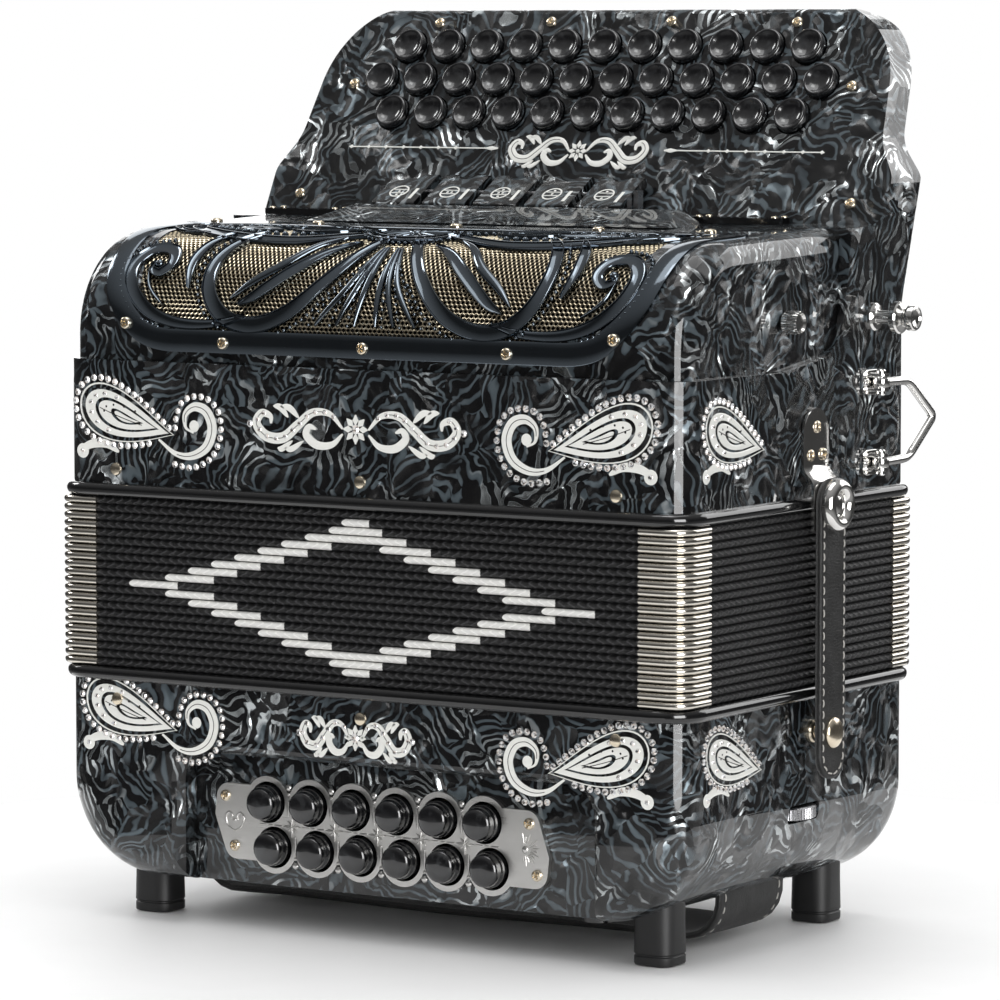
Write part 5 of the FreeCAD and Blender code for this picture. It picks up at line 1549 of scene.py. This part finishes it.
# ---- floor, lights -------------------------------------------------------------------------------
def make_floor():
    """Pale round floor under the object."""
    shape = Shape()
    rings = [[Vector((r * math.cos(2 * PI * k / 64), r * math.sin(2 * PI * k / 64),
                      -0.0005)) for k in range(64)]
             for r in (0.001, 0.13, 0.26, 0.38)]
    shape.grid(rings, close_across=True)
    n = Nodes("studio_floor")
    speck = n.noise(n.place, 30, 3)
    n.set(Base_Color=n.mix(speck, colour(0.93, 0.93, 0.93), colour(0.97, 0.97, 0.97)), Roughness=0.6)
    mesh = bpy.data.meshes.new("floor")
    mesh.from_pydata([tuple(p) for p in shape.points], [], shape.faces)
    mesh.materials.append(n.material)
    floor = bpy.data.objects.new("floor", mesh)
    bpy.context.scene.collection.objects.link(floor)


def soft_light(name, azimuth, height, distance, size, radiance, aim=0.2, diffuse=True):
    """Area light that glossy and diffuse surfaces see, and the camera doesn't; azimuth 0 is in front (-Y)."""
    a = math.radians(azimuth)
    place = Vector((math.sin(a) * distance, -math.cos(a) * distance, height))
    data = bpy.data.lights.new(name, "AREA")
    data.shape, data.size, data.size_y = "RECTANGLE", size[0], size[1]
    data.energy = radiance * PI * size[0] * size[1]
    lamp = bpy.data.objects.new(name, data)
    lamp.location = place
    lamp.rotation_euler = (Vector((0, 0, aim)) - place).to_track_quat("-Z", "Y").to_euler()
    lamp.visible_camera = False
    lamp.visible_diffuse = diffuse
    bpy.context.scene.collection.objects.link(lamp)


def make_world():
    """White behind the object, an even soft fill for matte surfaces, and a dark room for reflections."""
    world = bpy.data.worlds.new("studio")
    bpy.context.scene.world = world
    world.use_nodes = True
    tree = world.node_tree
    tree.nodes.clear()
    path = tree.nodes.new("ShaderNodeLightPath")
    place = tree.nodes.new("ShaderNodeTexCoord")
    split = tree.nodes.new("ShaderNodeSeparateXYZ")
    tree.links.new(place.outputs["Generated"], split.inputs[0])
    height = tree.nodes.new("ShaderNodeMapRange")
    height.inputs[1].default_value = -1.0
    tree.links.new(split.outputs["Z"], height.inputs[0])
    room = tree.nodes.new("ShaderNodeValToRGB")
    tree.links.new(height.outputs[0], room.inputs[0])
    elements = room.color_ramp.elements
    while len(elements) < len(ROOM_GLOSS):
        elements.new(0.5)
    for element, (z, strength) in zip(elements, ROOM_GLOSS):
        element.position = (z + 1) / 2
        element.color = colour(strength, strength, strength)
    pick = tree.nodes.new("ShaderNodeMix")
    pick.data_type = "FLOAT"
    pick.inputs[2].default_value = ROOM_FILL
    tree.links.new(room.outputs["Color"], pick.inputs[3])
    tree.links.new(path.outputs["Is Glossy Ray"], pick.inputs[0])
    seen = tree.nodes.new("ShaderNodeMix")
    seen.data_type = "FLOAT"
    tree.links.new(path.outputs["Is Camera Ray"], seen.inputs[0])
    tree.links.new(pick.outputs[0], seen.inputs[2])
    seen.inputs[3].default_value = 1.0
    glow = tree.nodes.new("ShaderNodeBackground")
    glow.inputs["Color"].default_value = colour(1, 1, 1)
    tree.links.new(seen.outputs[0], glow.inputs["Strength"])
    out = tree.nodes.new("ShaderNodeOutputWorld")
    tree.links.new(glow.outputs[0], out.inputs["Surface"])


ROOM_FILL = 0.95                            # even light on matte surfaces
ROOM_GLOSS = ((-1.0, 0.45), (-0.35, 0.28), (-0.12, 0.05), (0.2, 0.05), (0.5, 0.2),
              (1.0, 0.45))   # by height
bpy.context.scene.view_settings.view_transform = "Standard"
make_world()
make_floor()
soft_light("back_left_box", -147, 0.95, 2.4, (2.0, 1.9), 1.8, diffuse=False)
soft_light("corner_box", 57, 0.45, 2.2, (1.15, 1.4), 9.0, diffuse=False)
soft_light("back_right_card", 155, 0.66, 1.0, (0.7, 0.74), 2.4, aim=0.66, diffuse=False)
soft_light("overhead_fill", 0, 2.2, 0.01, (1.6, 1.6), 1.8)
soft_light("overhead_shine", 10, 2.2, 0.3, (0.6, 0.6), 3.0, diffuse=False)
soft_light("left_box", -92, 1.45, 2.0, (0.6, 0.6), 9.0, diffuse=False)
